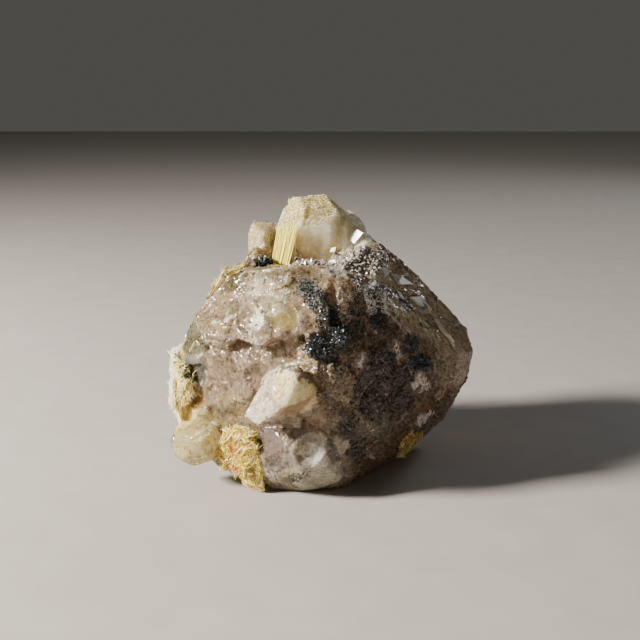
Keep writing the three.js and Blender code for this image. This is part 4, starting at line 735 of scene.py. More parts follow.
def makeQuartz():
    # the net's points move along their normals by the heights added up below.
    # The black crusts and the gold felts grow out of the quartz, so the net runs over them too
    grown = [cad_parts[n] for n in ("quartz", "hematite_front_crust", "hematite_right_crust", *felts)]
    points, quads = wrappedCopy(grown, skin["voxel"])
    count = len(points)
    print("quartz net:", count, "points,", len(quads), "faces")
    crystals = np.clip(sum(reachOf(points, patches[n]) for n in ("tallCrystal", "shortCrystal", "smokyCrystal")), 0, 1)
    evenOut(points, quads, crystals)
    shapeTallCrystal(points, quads)
    for at, way, deep in cuts:
        way = unit(np.array(way))
        over = (points - at) @ way + deep
        near = smooth((4.6 - np.linalg.norm(points - at, axis=1)) / 1.5)
        points -= np.maximum(over, 0)[:, None] * way * near[:, None]
    # where the glassy slope, the glassy knobs and the dark right side lie, and what stays smooth
    start = points.copy()
    wobble = 0.8 * roughNoise(points, 3.2, 5) + 0.6 * softNoise(points, 1.1, 8) + 0.3 * softNoise(points, 0.5, 9)
    overSlope = points[:, 2] - np.interp(points[:, 0], *slopeLine.T)
    slope = smooth(overSlope / 1.6 + 0.5 + 0.3 * wobble) * smooth((points[:, 0] - 5) / 2)
    glass = np.clip(reachOf(points, patches["knob"], wobble) + 0.15 * reachOf(points, patches["pillow"], wobble)
                    + reachOf(points, patches["yellowLens"]) + 0.6 * reachOf(points, patches["wedge"], wobble), 0, 1)
    ridge = np.interp(points[:, 2], *ridgeLine.T)
    right = smooth((points[:, 0] - ridge) / 1.6 + 0.35 * wobble + 0.3) * smooth((14 - points[:, 1]) / 6)
    keep = np.clip(crystals * 1.2 + 0.55 * glass + 0.5 * slope, 0, 1)
    chipOff(points, quads, start, keep)
    normals = pointNormals(points, quads)
    # flat broken faces in two sizes, then roughness, all of it along the normals
    rise = np.zeros(count)
    breaks = []
    for n, (size, height) in enumerate(zip(skin["shardSize"], skin["shardRise"])):
        level, border, share = shards(points + 0.3 * threeNoises(roughNoise, points, 1.5, 60), size, 20 + 30 * n)
        rise += height * level * (1 + 0.7 * right) * (1 - 0.92 * keep) * (1 if n else 0.6 + 0.4 * smooth(border * 6))
        breaks.append(share[:, None])
    rise += skin["roughRise"] * roughNoise(points, 0.9, 90) * (1 - 0.8 * keep)
    # ripples drawn out down the glassy slope, growth lines across the prisms
    bend = points + 1.2 * threeNoises(softNoise, points, 5, 70)
    drawn = bend - np.outer(bend @ downSlope, downSlope) * 0.6
    rise += slope * skin["rippleRise"] * (1.6 - 3.2 * np.abs(softNoise(drawn, 3.0, 77))
                                          + 0.8 - 1.6 * np.abs(softNoise(drawn, 1.4, 79)))
    rise += glass * skin["glassRise"] * roughNoise(points, 2.6, 81)
    growth = np.sin(points[:, 2] * 7 + 2 * softNoise(points * (0.2, 0.2, 1), 1.5, 85))
    rise += crystals * skin["stepRise"] * (growth * smooth((52 - points[:, 2]) / 3) + roughNoise(points, 1.1, 88))
    points += normals * rise[:, None]
    # the flat foot stays flat
    foot = start[:, 2] < skin["footRise"]
    points[foot, 2] = start[foot, 2]
    points[:, 2] = np.maximum(points[:, 2], 0.0)

    layers, bare = colourSkin(start, points, quads, wobble, breaks, crystals, slope, glass, right, keep)
    piece = newPiece("quartz_skin", points, quads.tolist(), flat=False)
    for key, values in layers.items():
        paint(piece, key, np.clip(values, 0, 1))
    paint(piece, "mottle", np.clip(0.22 + 0.6 * right * (1 - 0.5 * slope) - 0.2 * crystals, 0, 1))
    paint(piece, "streak", slope * (1 - crystals))
    return piece, points, quads, layers, crystals, dict(keep=bare, slope=slope, right=right)


def colourSkin(start, points, quads, wobble, breaks, crystals, slope, glass, right, keep):
    # one finish is laid over the other, each with its own share at every point:
    # value + (the finish's value - value) . share
    layers = dict(tone=np.tile(ground["tone"], (len(points), 1)))
    for key in ("clear", "frost", "grain", "speck", "glow"):
        layers[key] = np.full(len(points), ground[key])

    def lay(p, share):
        for key, values in layers.items():
            values += (p[key] - values) * (share[:, None] if values.ndim == 2 else share)

    lay(flankGround, smooth((-22 - start[:, 0]) / 3 + 0.3 * wobble))
    # past the ridge: the smoky brown right side, laid darker as painted shade too
    lay(rightGround, right)
    lay(slopeGround, slope)
    for p in patches.values():
        lay(p, reachOf(start, p, wobble))
    felt = np.zeros(len(points))
    for low, high in map(boxOf, felts):
        bed = patch((low + high) / 2, (high - low) * 0.56 + 0.3, **feltBed)
        lay(bed, reachOf(start, bed, 0.5 * wobble))
        felt = np.maximum(felt, reachOf(start, patch((low + high) / 2, (high - low) * 0.5 + 0.2, (0, 0, 0))))
    # each broken face has a shade of its own: some greyer and pinker, some warmer
    hue = shade(255, 250, 240) - shade(236, 244, 255)
    for share, strength in zip(breaks, (1.0, 0.7)):
        layers["tone"] *= 1 + strength * (1 - keep)[:, None] * (
            skin["faceShade"] * (share - 0.5) + skin["faceHue"] * hue * (share * 7.3 % 1 - 0.5))
        layers["frost"] += strength * skin["faceFrost"] * (share[:, 0] * 3.7 % 1 - 0.5)
    bare = np.clip(crystals * 1.3 * smooth(start[:, 2] - 43.6) + 0.8 * glass + felt, 0, 1)
    fray = softNoise(points, 0.45, 150) + 0.5 * softNoise(points, 0.9, 151)
    for p in facets.values():
        lay(p, faceReach(start, p, fray))
    front = start[:, 1] < frontDepth
    for line, wide, strength, colour in strokes.values():
        on = np.zeros(len(points))
        on[front] = lineReach(start[front], line, lineLook["width"] * wide) \
            * np.clip(strength * (1 + lineLook["fray"] * fray[front]), 0, 1)
        lay(finish(colour, *lineLook["finish"]), on * (lineLook["brightShare"] if isBright(colour) else 1.0))
    # painted highlight on bulging edges, painted shade in hollows
    mean = points
    for _ in range(3):
        mean = neighbourMean(mean, quads)
    bulge = ((points - mean) * pointNormals(points, quads)).sum(1)
    edgeHighlight = smooth(bulge / skin["bulge"] - 0.35) * (1 - 0.6 * right)
    layers["tone"] += (shade(*skin["edgeHighlightColour"]) - layers["tone"]) * (skin["edgeHighlight"] * edgeHighlight)[:, None]
    layers["tone"] *= (1 - skin["hollowShade"] * smooth(-bulge / skin["bulge"] - 0.2))[:, None]
    layers["tone"] *= (1 + 0.09 * roughNoise(points, 2.4, 120) + 0.05 * softNoise(points, 0.7, 130))[:, None]
    return layers, bare


# materials

def newMaterial(name):
    material = bpy.data.materials.new(name)
    material.use_nodes = True
    return material, material.node_tree, material.node_tree.nodes["Principled BSDF"]


def feed(tree, node, feeds):
    # into the socket of each name or number: another node's output is linked, a plain value is set
    for key, value in feeds.items():
        if isinstance(value, bpy.types.NodeSocket):
            tree.links.new(value, node.inputs[key])
        else:
            node.inputs[key].default_value = value


def add(tree, kind, feeds, **settings):
    # one node: its own settings first, then what goes into its sockets
    node = tree.nodes.new("ShaderNode" + kind)
    for key, value in settings.items():
        setattr(node, key, value)
    feed(tree, node, feeds)
    return node


def objectPlace(tree):
    return add(tree, "TexCoord", {}).outputs["Object"]


def amount(tree, name, output="Fac"):
    return add(tree, "Attribute", {}, attribute_name=name).outputs[output]


def maths(tree, kind, *values, clamp=False):
    return add(tree, "Math", dict(enumerate(values)), operation=kind, use_clamp=clamp).outputs[0]


def product(tree, *values):
    return maths(tree, "MULTIPLY", *values)


def vectors(tree, kind, *values):
    node = add(tree, "VectorMath", dict(enumerate(values)), operation=kind)
    return node.outputs["Value" if kind == "DOT_PRODUCT" else "Vector"]


def scaled(tree, vector, factor):
    return add(tree, "VectorMath", {0: vector, "Scale": factor}, operation="SCALE").outputs[0]


def ranged(tree, value, fromLow, fromHigh, low=0.0, high=1.0):
    # fromLow becomes low, fromHigh becomes high, evenly between them and no further
    return add(tree, "MapRange", {"Value": value, "From Min": fromLow, "From Max": fromHigh,
                                  "To Min": low, "To Max": high}).outputs[0]


def noise(tree, coords, scale, detail, roughness=0.5):
    return add(tree, "TexNoise", {"Vector": coords, "Scale": scale, "Detail": detail, "Roughness": roughness})


def cells(tree, coords, scale, feature="F1"):
    return add(tree, "TexVoronoi", {"Vector": coords, "Scale": scale}, feature=feature)


def mixed(tree, share, colour, over):
    return add(tree, "Mix", {0: share, 6: colour, 7: over}, data_type="RGBA").outputs[2]


def twoColours(tree, value, low, high):
    ramp = add(tree, "ValToRGB", {"Fac": value})
    for element, colour in zip(ramp.color_ramp.elements, (low, high)):
        element.color = (*colour, 1)
    return ramp.outputs["Color"]


def relief(tree, height, distance, strength):
    return add(tree, "Bump", {"Height": height, "Distance": distance, "Strength": strength}).outputs[0]


def facetHeight(tree, coords, scale, lean):
    # every small cell is a flat face with a lean of its own: (place - cell middle) . (cell colour - 1/2)
    cell = cells(tree, coords, scale)
    away = vectors(tree, "SUBTRACT", coords, cell.outputs["Position"])
    tilt = vectors(tree, "SUBTRACT", cell.outputs["Color"], (0.5, 0.5, 0.5))
    return product(tree, vectors(tree, "DOT_PRODUCT", away, tilt), lean)


def hairlines(tree, coords, scale, wide):
    # 1 on the border between two cells, 0 from `wide` on
    return ranged(tree, cells(tree, coords, scale, "DISTANCE_TO_EDGE").outputs["Distance"], 0.0, wide, 1.0, 0.0)


quartzLook = dict(
    bigFaces=420.0, middleFaces=1450.0, fineFaces=3900.0,   # faces per metre
    bigLean=0.24, middleLean=0.5, fineLean=0.66,
    lineWidth=0.035, lineAmount=0.35,                       # pale hairlines between the faces
    slopeFaces=1300.0, slopeLean=0.8, slopeLineWidth=0.09,  # the glassy slope's own
    cloud=900.0, salt=2300.0, stir=420.0, glintCells=2900.0, dots=2600.0,
    glintColour=(0.92, 0.87, 0.80), paleLine=(0.95, 0.90, 0.82), dot=(0.012, 0.012, 0.013),
    ior=1.54, glowReach=0.005, glowRadius=(1.0, 0.92, 0.78), absorb=(0.74, 0.63, 0.46), density=40.0,
)


def quartzMaterial():
    material, tree, shader = newMaterial("rutilatedQuartz")
    look = quartzLook
    coords = objectPlace(tree)
    clear, frost, grain, speck, glow, mottle, streak = (
        amount(tree, n) for n in ("clear", "frost", "grain", "speck", "glow", "mottle", "streak"))
    # mottling
    cloud = noise(tree, coords, look["cloud"], 5.0, 0.65).outputs["Fac"]
    salt = ranged(tree, noise(tree, coords, look["salt"], 3.0, 0.7).outputs["Fac"], 0.34, 0.66, -0.95, 1.3)
    mottling = product(tree, ranged(tree, cloud, 0.3, 0.7, 0.8, 1.18), maths(tree, "MULTIPLY_ADD", salt, mottle, 1.0))
    tinted = scaled(tree, amount(tree, "tone", "Color"), mottling)
    # pale hairlines where two broken faces meet, coming and going
    stir = noise(tree, coords, look["stir"], 2.0)
    bent, eased = (vectors(tree, "MULTIPLY_ADD", stir.outputs["Color"], (far, far, far), coords)
                   for far in (0.0011, 0.0004))
    lines = maths(tree, "MAXIMUM", hairlines(tree, bent, look["bigFaces"], look["lineWidth"]),
                  hairlines(tree, bent, look["middleFaces"], look["lineWidth"] * 1.3))
    # on the glassy slope the lines run down it
    along = product(tree, vectors(tree, "DOT_PRODUCT", eased, downSlope), -0.8)
    drawn = vectors(tree, "ADD", eased, scaled(tree, downSlope, along))
    slopeLines = product(tree, hairlines(tree, drawn, look["slopeFaces"], look["slopeLineWidth"]), streak)
    fade = ranged(tree, stir.outputs["Fac"], 0.42, 0.62, 0.0, look["lineAmount"])
    lines = product(tree, maths(tree, "MAXIMUM", lines, slopeLines), fade)
    lines = product(tree, lines, maths(tree, "MAXIMUM", grain, streak))
    # painted glints: small pale grains where the skin is grainy
    pale = cells(tree, coords, look["glintCells"]).outputs["Color"]
    glintShare = product(tree, product(tree, ranged(tree, pale, 0.78, 0.95), grain), 0.35)
    tinted = mixed(tree, glintShare, tinted, (*look["glintColour"], 1))
    tinted = mixed(tree, lines, tinted, (*look["paleLine"], 1))
    # flush black dots: a cell is a dot where its chance number is under the local amount
    dots = cells(tree, coords, look["dots"])
    chance = add(tree, "SeparateColor", {0: dots.outputs["Color"]}).outputs[1]
    dotted = product(tree, maths(tree, "LESS_THAN", chance, product(tree, speck, 0.5)),
                     maths(tree, "LESS_THAN", dots.outputs["Distance"], 0.42))
    # finish: uneven frost, and each pale cell duller or shinier than the next
    rough = maths(tree, "ADD", ranged(tree, cloud, 0.3, 0.7, -0.08, 0.10), frost, clamp=True)
    shiny = product(tree, ranged(tree, pale, 0.0, 1.0, 0.22, -0.22), grain)
    rough = maths(tree, "MAXIMUM", maths(tree, "ADD", rough, shiny, clamp=True), 0.06)
    # relief: big and middling broken faces, fine ones where the skin is grainy, drawn ones down the slope
    broken = maths(tree, "ADD", facetHeight(tree, bent, look["bigFaces"], look["bigLean"]),
                   facetHeight(tree, bent, look["middleFaces"], look["middleLean"]))
    broken = product(tree, broken, maths(tree, "MULTIPLY", grain, 2.0, clamp=True))
    fine = product(tree, facetHeight(tree, coords, look["fineFaces"], look["fineLean"]), grain)
    down = product(tree, facetHeight(tree, drawn, look["slopeFaces"], look["slopeLean"]), streak)
    height = maths(tree, "ADD", maths(tree, "ADD", broken, fine), down)
    feed(tree, shader, {
        "Base Color": mixed(tree, dotted, tinted, (*look["dot"], 1)), "Roughness": rough, "IOR": look["ior"],
        "Transmission Weight": product(tree, clear, maths(tree, "SUBTRACT", 1.0, dotted)),
        # milky places pass light along inside
        "Subsurface Weight": glow, "Subsurface Radius": look["glowRadius"], "Subsurface Scale": look["glowReach"],
        "Normal": relief(tree, height, 1.0, 1.0)})
    smoke = add(tree, "VolumeAbsorption", {"Color": (*look["absorb"], 1), "Density": look["density"]})
    feed(tree, tree.nodes["Material Output"], {"Volume": smoke.outputs[0]})
    return material


# streaks per metre and how far they are drawn out upright, their least and most shade and roughness
rutileLook = dict(streaks=3200.0, drawnOut=0.12, shade=(0.78, 1.18), rough=(0.2, 0.42), ior=1.9, relief=0.00006)


def rutileMaterial():
    # streaked needles; their colour comes from the piece's own attribute
    material, tree, shader = newMaterial("rutileNeedles")
    look = rutileLook
    drawnOut = add(tree, "Mapping", {"Vector": objectPlace(tree), "Scale": (1.0, 1.0, look["drawnOut"])}).outputs[0]
    streaks = noise(tree, drawnOut, look["streaks"], 3.0).outputs["Fac"]
    feed(tree, shader, {
        "Base Color": scaled(tree, amount(tree, "tone", "Color"), ranged(tree, streaks, 0.3, 0.7, *look["shade"])),
        "Roughness": ranged(tree, streaks, 0.3, 0.7, *look["rough"]), "IOR": look["ior"],
        "Normal": relief(tree, streaks, look["relief"], 0.8)})
    return material


hematiteLook = dict(
    clouds=2500.0, dark=(0.004, 0.006, 0.007), pale=(0.022, 0.031, 0.034), rough=(0.18, 0.5), metallic=0.1,
    ior=1.8, faces=3200.0, lean=1.2, relief=0.7,
)


def hematiteMaterial():
    material, tree, shader = newMaterial("blackHematite")
    look = hematiteLook
    coords = objectPlace(tree)
    clouds = noise(tree, coords, look["clouds"], 4.0).outputs["Fac"]
    feed(tree, shader, {
        "Base Color": twoColours(tree, clouds, look["dark"], look["pale"]),
        "Roughness": ranged(tree, clouds, 0.0, 1.0, *look["rough"]), "Metallic": look["metallic"],
        "IOR": look["ior"], "Normal": relief(tree, facetHeight(tree, coords, look["faces"], look["lean"]), 1.0,
                                             look["relief"])})
    return material


# rutile needles

# they lie in locks on each felt's own surface. heights and grain: the way they run at two heights; turn: how
# far a lock may swing off it; length and width in mm; lift: how far they stand off; cream: how many are pale;
# spots: tints of their own
felts = {
    "rutile_shoulder_edge": dict(
        heights=(38.5, 40.5), grain=((-0.5, 0, -0.87), (-0.9, 0, -0.45)), turn=0.06, fan=0.03, locks=90, perLock=7,
        length=(0.8, 2.0), width=(0.08, 0.16), lift=(-0.1, 0.04), facing=(-0.85, 0.1, 0.5), inner=(112, 90, 18),
        outer=(228, 212, 92), cream=0.1, spots=()),
    "rutile_left_mat": dict(
        heights=(12, 26), grain=((0.25, 0.05, 1), (0.05, 0.05, 1)), turn=0.55, fan=0.5, locks=620, perLock=6,
        length=(1.2, 3.2), width=(0.09, 0.18), lift=(-0.25, 0.12), facing=(-0.9, -0.5, 0.2), inner=(240, 190, 74),
        outer=(255, 255, 156), cream=0.5,
        spots=(((-29.3, -2, 20.5), (1.6, 5, 6.5), (255, 252, 214)), ((-28.6, -2, 25), (2.5, 5, 2.2), (255, 253, 228)),
               ((-25.3, -6.5, 19.5), (0.9, 3, 1.2), (246, 196, 80)))),
    "rutile_foot_spray": dict(
        heights=(2, 13), grain=((0.3, 0.1, 1), (0.1, 0.1, 1)), turn=0.95, fan=0.3, locks=440, perLock=7,
        length=(1.2, 3.2), width=(0.1, 0.22), lift=(-0.3, 0.35), facing=(-0.2, -1, 0.15), inner=(170, 106, 14),
        outer=(255, 238, 84), cream=0.2,
        spots=(((-16.2, -11.2, 9.0), (1.6, 4, 1.7), (214, 130, 6)),
               ((-16.4, -10.9, 4.8), (1.3, 4, 1.1), (214, 130, 6)))),
    "rutile_right_sliver": dict(
        heights=(4, 9), grain=((0.8, 0.5, 0.55), (0.8, 0.5, 0.55)), turn=0.08, fan=0.04, locks=60, perLock=7,
        length=(1.2, 3.6), width=(0.1, 0.2), lift=(-0.1, 0.1), facing=(0.4, -0.8, -0.4), inner=(150, 118, 50),
        outer=(208, 188, 104), cream=0.1, spots=()),
}


def needleMesh(starts, ends, bows, widths, facing, sides=5, rings=4):
    # a pointed stalk: rings along a gently bowed line, wide in the middle, flattened across `facing`.
    # Also back: how many points each needle has
    number = len(starts)
    along = unit(ends - starts)
    across = unit(np.cross(along, facing))
    lift = np.cross(across, along)
    t = np.linspace(0.03, 0.97, rings)[None, :, None]
    line = starts[:, None] + (ends - starts)[:, None] * t + bows[:, None] * (4 * t * (1 - t))
    swell = (0.55 + 0.45 * np.sin(np.pi * t ** 0.8)) * widths[:, None, None] * 0.5
    angle = (np.arange(sides) * 2 * np.pi / sides)[None, None, :, None]
    ring = line[:, :, None] + swell[:, :, None] * (across[:, None, None] * np.cos(angle)
                                                   + 0.6 * lift[:, None, None] * np.sin(angle))
    points = np.concatenate([ring.reshape(number, -1, 3), starts[:, None], ends[:, None]], 1)
    base = np.arange(number)[:, None, None] * (rings * sides + 2)
    s = np.arange(sides)
    n = (s + 1) % sides
    walls = np.concatenate([np.stack([s, n, n + sides, s + sides], 1) + r * sides for r in range(rings - 1)])
    last = (rings - 1) * sides
    foot = np.stack([np.full(sides, rings * sides), n, s], 1)
    tip = np.stack([np.full(sides, rings * sides + 1), last + s, last + n], 1)
    faces = (base + walls).reshape(-1, 4).tolist() + (base + np.concatenate([foot, tip])).reshape(-1, 3).tolist()
    return points.reshape(-1, 3), faces, points.shape[1]


def makeNeedles(name, mat, seed):
    # every needle runs half its length to either side of its place: lock + side . offset + normal . lift
    rng = np.random.default_rng(seed)
    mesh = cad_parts[name].data
    mesh.calc_loop_triangles()
    corners = np.empty(len(mesh.vertices) * 3)
    mesh.vertices.foreach_get("co", corners)
    triangles = np.empty(len(mesh.loop_triangles) * 3, int)
    mesh.loop_triangles.foreach_get("vertices", triangles)
    a, b, c = (corners.reshape(-1, 3)[triangles.reshape(-1, 3)[:, i]] / mm for i in range(3))
    face = np.cross(b - a, c - a)
    facing = unit(np.array(mat["facing"]))
    # locks: a middle on the surface, a direction in the surface near the grain
    locks = mat["locks"]
    on = pick(rng, np.linalg.norm(face, axis=1) * (0.04 + smooth(unit(face) @ facing + 0.35)), locks)
    u, v = rng.uniform(0, 1, (2, locks, 1))
    u, v = np.where(u + v > 1, 1 - u, u), np.where(u + v > 1, 1 - v, v)
    middle = a[on] + (b[on] - a[on]) * u + (c[on] - a[on]) * v
    normal = unit(unit(face)[on] + 0.6 * facing)
    foot, head = mat["heights"]
    up = smooth((middle[:, 2:] - foot) / (head - foot))
    grain = np.array(mat["grain"][0]) * (1 - up) + np.array(mat["grain"][1]) * up
    flow = unit(grain - normal * (normal * grain).sum(1)[:, None])
    side = np.cross(normal, flow)
    swing = rng.normal(0, mat["turn"], (locks, 1))
    flow, side = flow * np.cos(swing) + side * np.sin(swing), side * np.cos(swing) - flow * np.sin(swing)
    # needles: side by side in their lock, a little fanned out, bent and of uneven length
    number = locks * mat["perLock"]
    lock = np.repeat(np.arange(locks), mat["perLock"])
    middle, normal, flow, side = middle[lock], normal[lock], flow[lock], side[lock]
    off = rng.normal(0, 0.42, (number, 1))
    length = (rng.uniform(*mat["length"], locks)[lock] * rng.uniform(0.55, 1, number))[:, None]
    heading = unit(flow + side * (off * mat["fan"] + rng.normal(0, mat["fan"] * 0.7, (number, 1))))
    lift = rng.uniform(*mat["lift"], (number, 1))
    tilt = rng.normal(0, 0.5, (number, 1)) * mat["fan"] * length
    at = middle + side * off + normal * lift + heading * rng.normal(0, 0.15, (number, 1)) * length
    start = at - heading * length / 2 - normal * tilt * 0.5
    end = at + heading * length / 2 + normal * tilt * 0.5
    bow = (side * rng.normal(0, 0.25, (number, 1)) + normal * rng.uniform(0, 0.3, (number, 1))) * length * mat["fan"]
    low, high = boxOf(name)
    start, end = (np.clip(p, low - 0.12, high + 0.12) for p in (start, end))
    start[:, 2], end[:, 2] = (np.maximum(p[:, 2], 0.1) for p in (start, end))
    points, faces, each = needleMesh(start, end, bow, rng.uniform(*mat["width"], number),
                                     unit(normal + rng.normal(0, 0.4, (number, 3))))
    # tints: each lock its own, lighter where a needle stands off and darker where it lies low: painted shade among the
    # fibres
    warm = np.clip(rng.uniform(0.0, 1.15, locks)[lock] + rng.normal(0, 0.36, number)
                   + 0.35 * (lift[:, 0] - np.mean(mat["lift"])) / np.ptp(mat["lift"]), 0, 1)[:, None]
    tones = blend(mat["inner"], mat["outer"], warm)
    cream = (rng.uniform(0, 1, number) < mat["cream"])[:, None]
    tones = np.where(cream, shade(255, 248, 190) * (0.7 + 0.3 * warm), tones)
    for place, reach, tint in mat["spots"]:
        near = smooth(1.6 - 1.3 * np.linalg.norm((at - place) / reach, axis=1) + rng.normal(0, 0.2, number))
        tones += (shade(*tint) * (0.75 + 0.35 * warm) - tones) * near[:, None]
    piece = newPiece(name.replace("rutile_", "needles_"), points, faces)
    paint(piece, "tone", np.repeat(np.clip(tones, 0, 1), each, 0))
    return piece


# the blades against the tall crystal, as strands side by side. root and tip: where the first and the last
# strand begin and end; strands: place from first (0) to last (1), half width in mm, needles in it
bundle = dict(
    root=((-10.2, 3.7, 38.4), (-7.5, 2.0, 38.4)), tip=((-8.2, 3.8, 49.3), (-4.6, 1.7, 49.7)),
    strands=((0.03, 0.28, 16), (0.2, 0.16, 9), (0.38, 0.14, 8), (0.52, 0.2, 10), (0.7, 0.12, 7), (0.86, 0.2, 12),
             (0.97, 0.16, 10)),
    out=(-0.57, -0.82, 0.0), loose=34, width=(0.12, 0.26), inner=(206, 146, 26), outer=(255, 250, 118), seed=77,
)


def makeBundle():
    # each needle runs from its place on the root line towards its place on the tip line, bowed a little
    rng = np.random.default_rng(bundle["seed"])
    place = np.concatenate([np.full(n, at) + rng.normal(0, wide / 5, n) for at, wide, n in bundle["strands"]]
                           + [rng.uniform(0, 1, bundle["loose"])])
    number = len(place)
    loose = np.arange(number) >= number - bundle["loose"]
    (rootA, rootB), (tipA, tipB) = (np.array(bundle[key]) for key in ("root", "tip"))
    skew = place + rng.normal(0, 0.03, number)
    root = rootA + (rootB - rootA) * place[:, None] + rng.normal(0, 0.12, (number, 3)) * (1, 1, 0)
    tip = tipA + (tipB - tipA) * skew[:, None] + rng.normal(0, 0.06, (number, 3))
    reach = np.where(loose, rng.uniform(0.5, 0.9, number), rng.uniform(0.84, 1.0, number))[:, None]
    out = unit(np.array(bundle["out"]))
    depth = np.where(loose, -0.15, rng.uniform(-0.1, 0.28, number))[:, None]
    bow = rng.normal(0, 0.1, (number, 3)) * (1, 1, 0)
    points, faces, each = needleMesh(root + out * depth, root + (tip - root) * reach + out * depth, bow,
                                     rng.uniform(*bundle["width"], number), np.tile(out, (number, 1)), rings=6)
    # needles further out are lighter: painted shade on the deeper ones
    warm = np.clip(np.where(loose, rng.uniform(0, 0.4, number), rng.uniform(0.5, 1.1, number))
                   + 0.4 * depth[:, 0], 0, 1)[:, None]
    piece = newPiece("needles_tall_crystal_blades", points, faces)
    paint(piece, "tone", np.repeat(blend(bundle["inner"], bundle["outer"], warm), each, 0))
    return piece


# fine needles caught in the skin of the three crystals: they run round a middle, sparse near it
hairs = dict(
    middle=(-1.9, 43.4), hollow=(3.0, 7.5), swing=0.5, number=2300, length=(0.3, 1.3), width=(0.09, 0.2),
    lift=(-0.03, 0.05), inner=(186, 148, 60), outer=(255, 252, 214), seed=55,
    # where they crowd, mm: middle, reach, share
    zones=(((-1.5, 4.5, 49.5), (8.6, 8, 7.5), 1.0), ((-11.2, 6.5, 45.4), (3.6, 6, 4.6), 0.5),
           ((6.5, 7.5, 46.5), (3.6, 5, 4.4), 0.25)),
)


def makeHairs(points, normals, crystals):
    # a short stalk half its length to either side of a point of the skin, along the way round the middle
    rng = np.random.default_rng(hairs["seed"])
    number = hairs["number"]
    near, clearOf = hairs["hollow"]
    away = points[:, ::2] - hairs["middle"]
    sparse = 0.04 + smooth((np.linalg.norm(away, axis=1) - near) / (clearOf - near))
    picks = pick(rng, crowd(points, hairs["zones"], 3) * (crystals * sparse), number)
    away, normal = away[picks], normals[picks]
    ringWay = np.stack([away[:, 1], np.zeros(number), -away[:, 0]], 1)
    flow = unit(ringWay - normal * (ringWay * normal).sum(1)[:, None])
    swing = rng.normal(0, hairs["swing"], (number, 1))
    flow = flow * np.cos(swing) + np.cross(normal, flow) * np.sin(swing)
    at = points[picks] + normal * rng.uniform(*hairs["lift"], (number, 1))
    half = flow * rng.uniform(*hairs["length"], (number, 1)) / 2
    needles, faces, each = needleMesh(at - half, at + half, np.zeros((number, 3)),
                                      rng.uniform(*hairs["width"], number), normal, sides=4, rings=2)
    piece = newPiece("needles_in_crystals", needles, faces)
    tones = blend(hairs["inner"], hairs["outer"], rng.uniform(0, 1, (number, 1)))
    paint(piece, "tone", np.repeat(tones, each, 0))
    return piece


# six-sided plates and points

def hexagon(across, other, stretch=1.0):
    # six spokes: across . cos + stretch . other . sin, a sixth of a turn apart
    angle = (np.arange(6) * np.pi / 3)[None, :, None]
    return across[:, None] * np.cos(angle) + stretch * other[:, None] * np.sin(angle)


perHexagon = 14   # two rings of six points and their two middles


def sixSided(low, top, lowMiddle, topMiddle):
    # the rings are joined by four-sided faces, and each is closed by a fan round its middle
    points = np.concatenate([low, top, lowMiddle[:, None], topMiddle[:, None]], 1)
    s = np.arange(6)
    n = (s + 1) % 6
    base = np.arange(len(points))[:, None, None] * perHexagon
    sides = (base + np.stack([s, n, n + 6, s + 6], 1)).reshape(-1, 4)
    fans = (base + np.concatenate([np.stack([n, s, np.full(6, 12)], 1),
                                   np.stack([s + 6, n + 6, np.full(6, 13)], 1)])).reshape(-1, 3)
    return points.reshape(-1, 3), sides.tolist() + fans.tolist()


def plateMesh(middles, axes, radii, thick, rng, along=None, slim=(0.6, 1.0), uneven=(0.8, 1.1)):
    # a six-sided plate: two rings round a middle, the upper one a little narrower
    number = len(middles)
    guess = unit(rng.normal(0, 1, (number, 3))) if along is None else np.cross(axes, along)
    across = unit(np.cross(guess, axes))
    spoke = hexagon(across, np.cross(axes, across), rng.uniform(*slim, (number, 1, 1)))
    spoke = spoke * (radii[:, None, None] * rng.uniform(*uneven, (number, 6, 1)))
    half = (thick / 2)[:, None] * axes
    return sixSided(middles[:, None] + spoke - half[:, None], middles[:, None] + spoke * 0.86 + half[:, None],
                    middles - half, middles + half)


grains = dict(
    number=2600, radius=(0.10, 0.34), thick=(0.06, 0.2), seed=7,
    # where they crowd, mm: middle, reach, share
    crowds=dict(
        dotted=((-1.2, -13.8, 38.0), (2.6, 4, 2.6), 3.4), foot=((1.0, -15.2, 35.4), (2.4, 3, 2.2), 3.4),
        top=((-2.9, -12.2, 39.7), (2.0, 3, 1.6), 3.0), rim=((0.6, -17.6, 31.2), (4.6, 4, 3.6), 9.0),
        under=((0.5, -16.4, 34.2), (3.4, 3, 2.0), 3.0), pocket=((5.2, -13.4, 34.0), (3.6, 4, 3.0), 2.0),
        dots=((9.9, -11.4, 33.4), (2.0, 3, 1.7), 5.0), band=((9.6, -9.6, 36.9), (2.1, 4, 4.4), 2.6),
        rightA=((16.4, -8.8, 28.2), (2.6, 3, 1.9), 6.0), rightB=((18.3, -6.5, 24.0), (2.4, 3, 1.8), 6.0),
        term=((4.6, -15.0, 14.4), (2.2, 3, 3.2), 3.0), termLow=((6.6, -12.4, 8.0), (2.0, 3, 4.4), 2.5),
        footDots=((-4.6, -15.9, 4.7), (3.4, 3, 1.8), 1.2), druse=((6.5, -3.5, 42.4), (4.6, 5, 3.2), 0.3),
        tan=((2.8, -18.2, 26.4), (3.4, 3, 2.2), 2.0), brown=((11.5, -11.5, 22), (6.5, 6, 8.0), 0.8),
        bundle=((-6.5, 0.4, 39.0), (3.5, 2, 0.8), 4.0),
    ),
)


def makeGrains(points, normals):
    # plates on the skin, most of them small: least radius + chance^2 . the range
    rng = np.random.default_rng(grains["seed"])
    number = grains["number"]
    picks = pick(rng, crowd(points, grains["crowds"].values(), 2.5), number)
    low, high = grains["radius"]
    radii = rng.uniform(0, 1, number) ** 2 * (high - low) + low
    thick = rng.uniform(*grains["thick"], number)
    axes = unit(normals[picks] + rng.normal(0, 0.55, (number, 3)))
    middles = points[picks] + normals[picks] * (0.02 + 0.1 * radii)[:, None]
    return newPiece("hematite_grains", *plateMesh(middles, axes, radii, thick, rng))


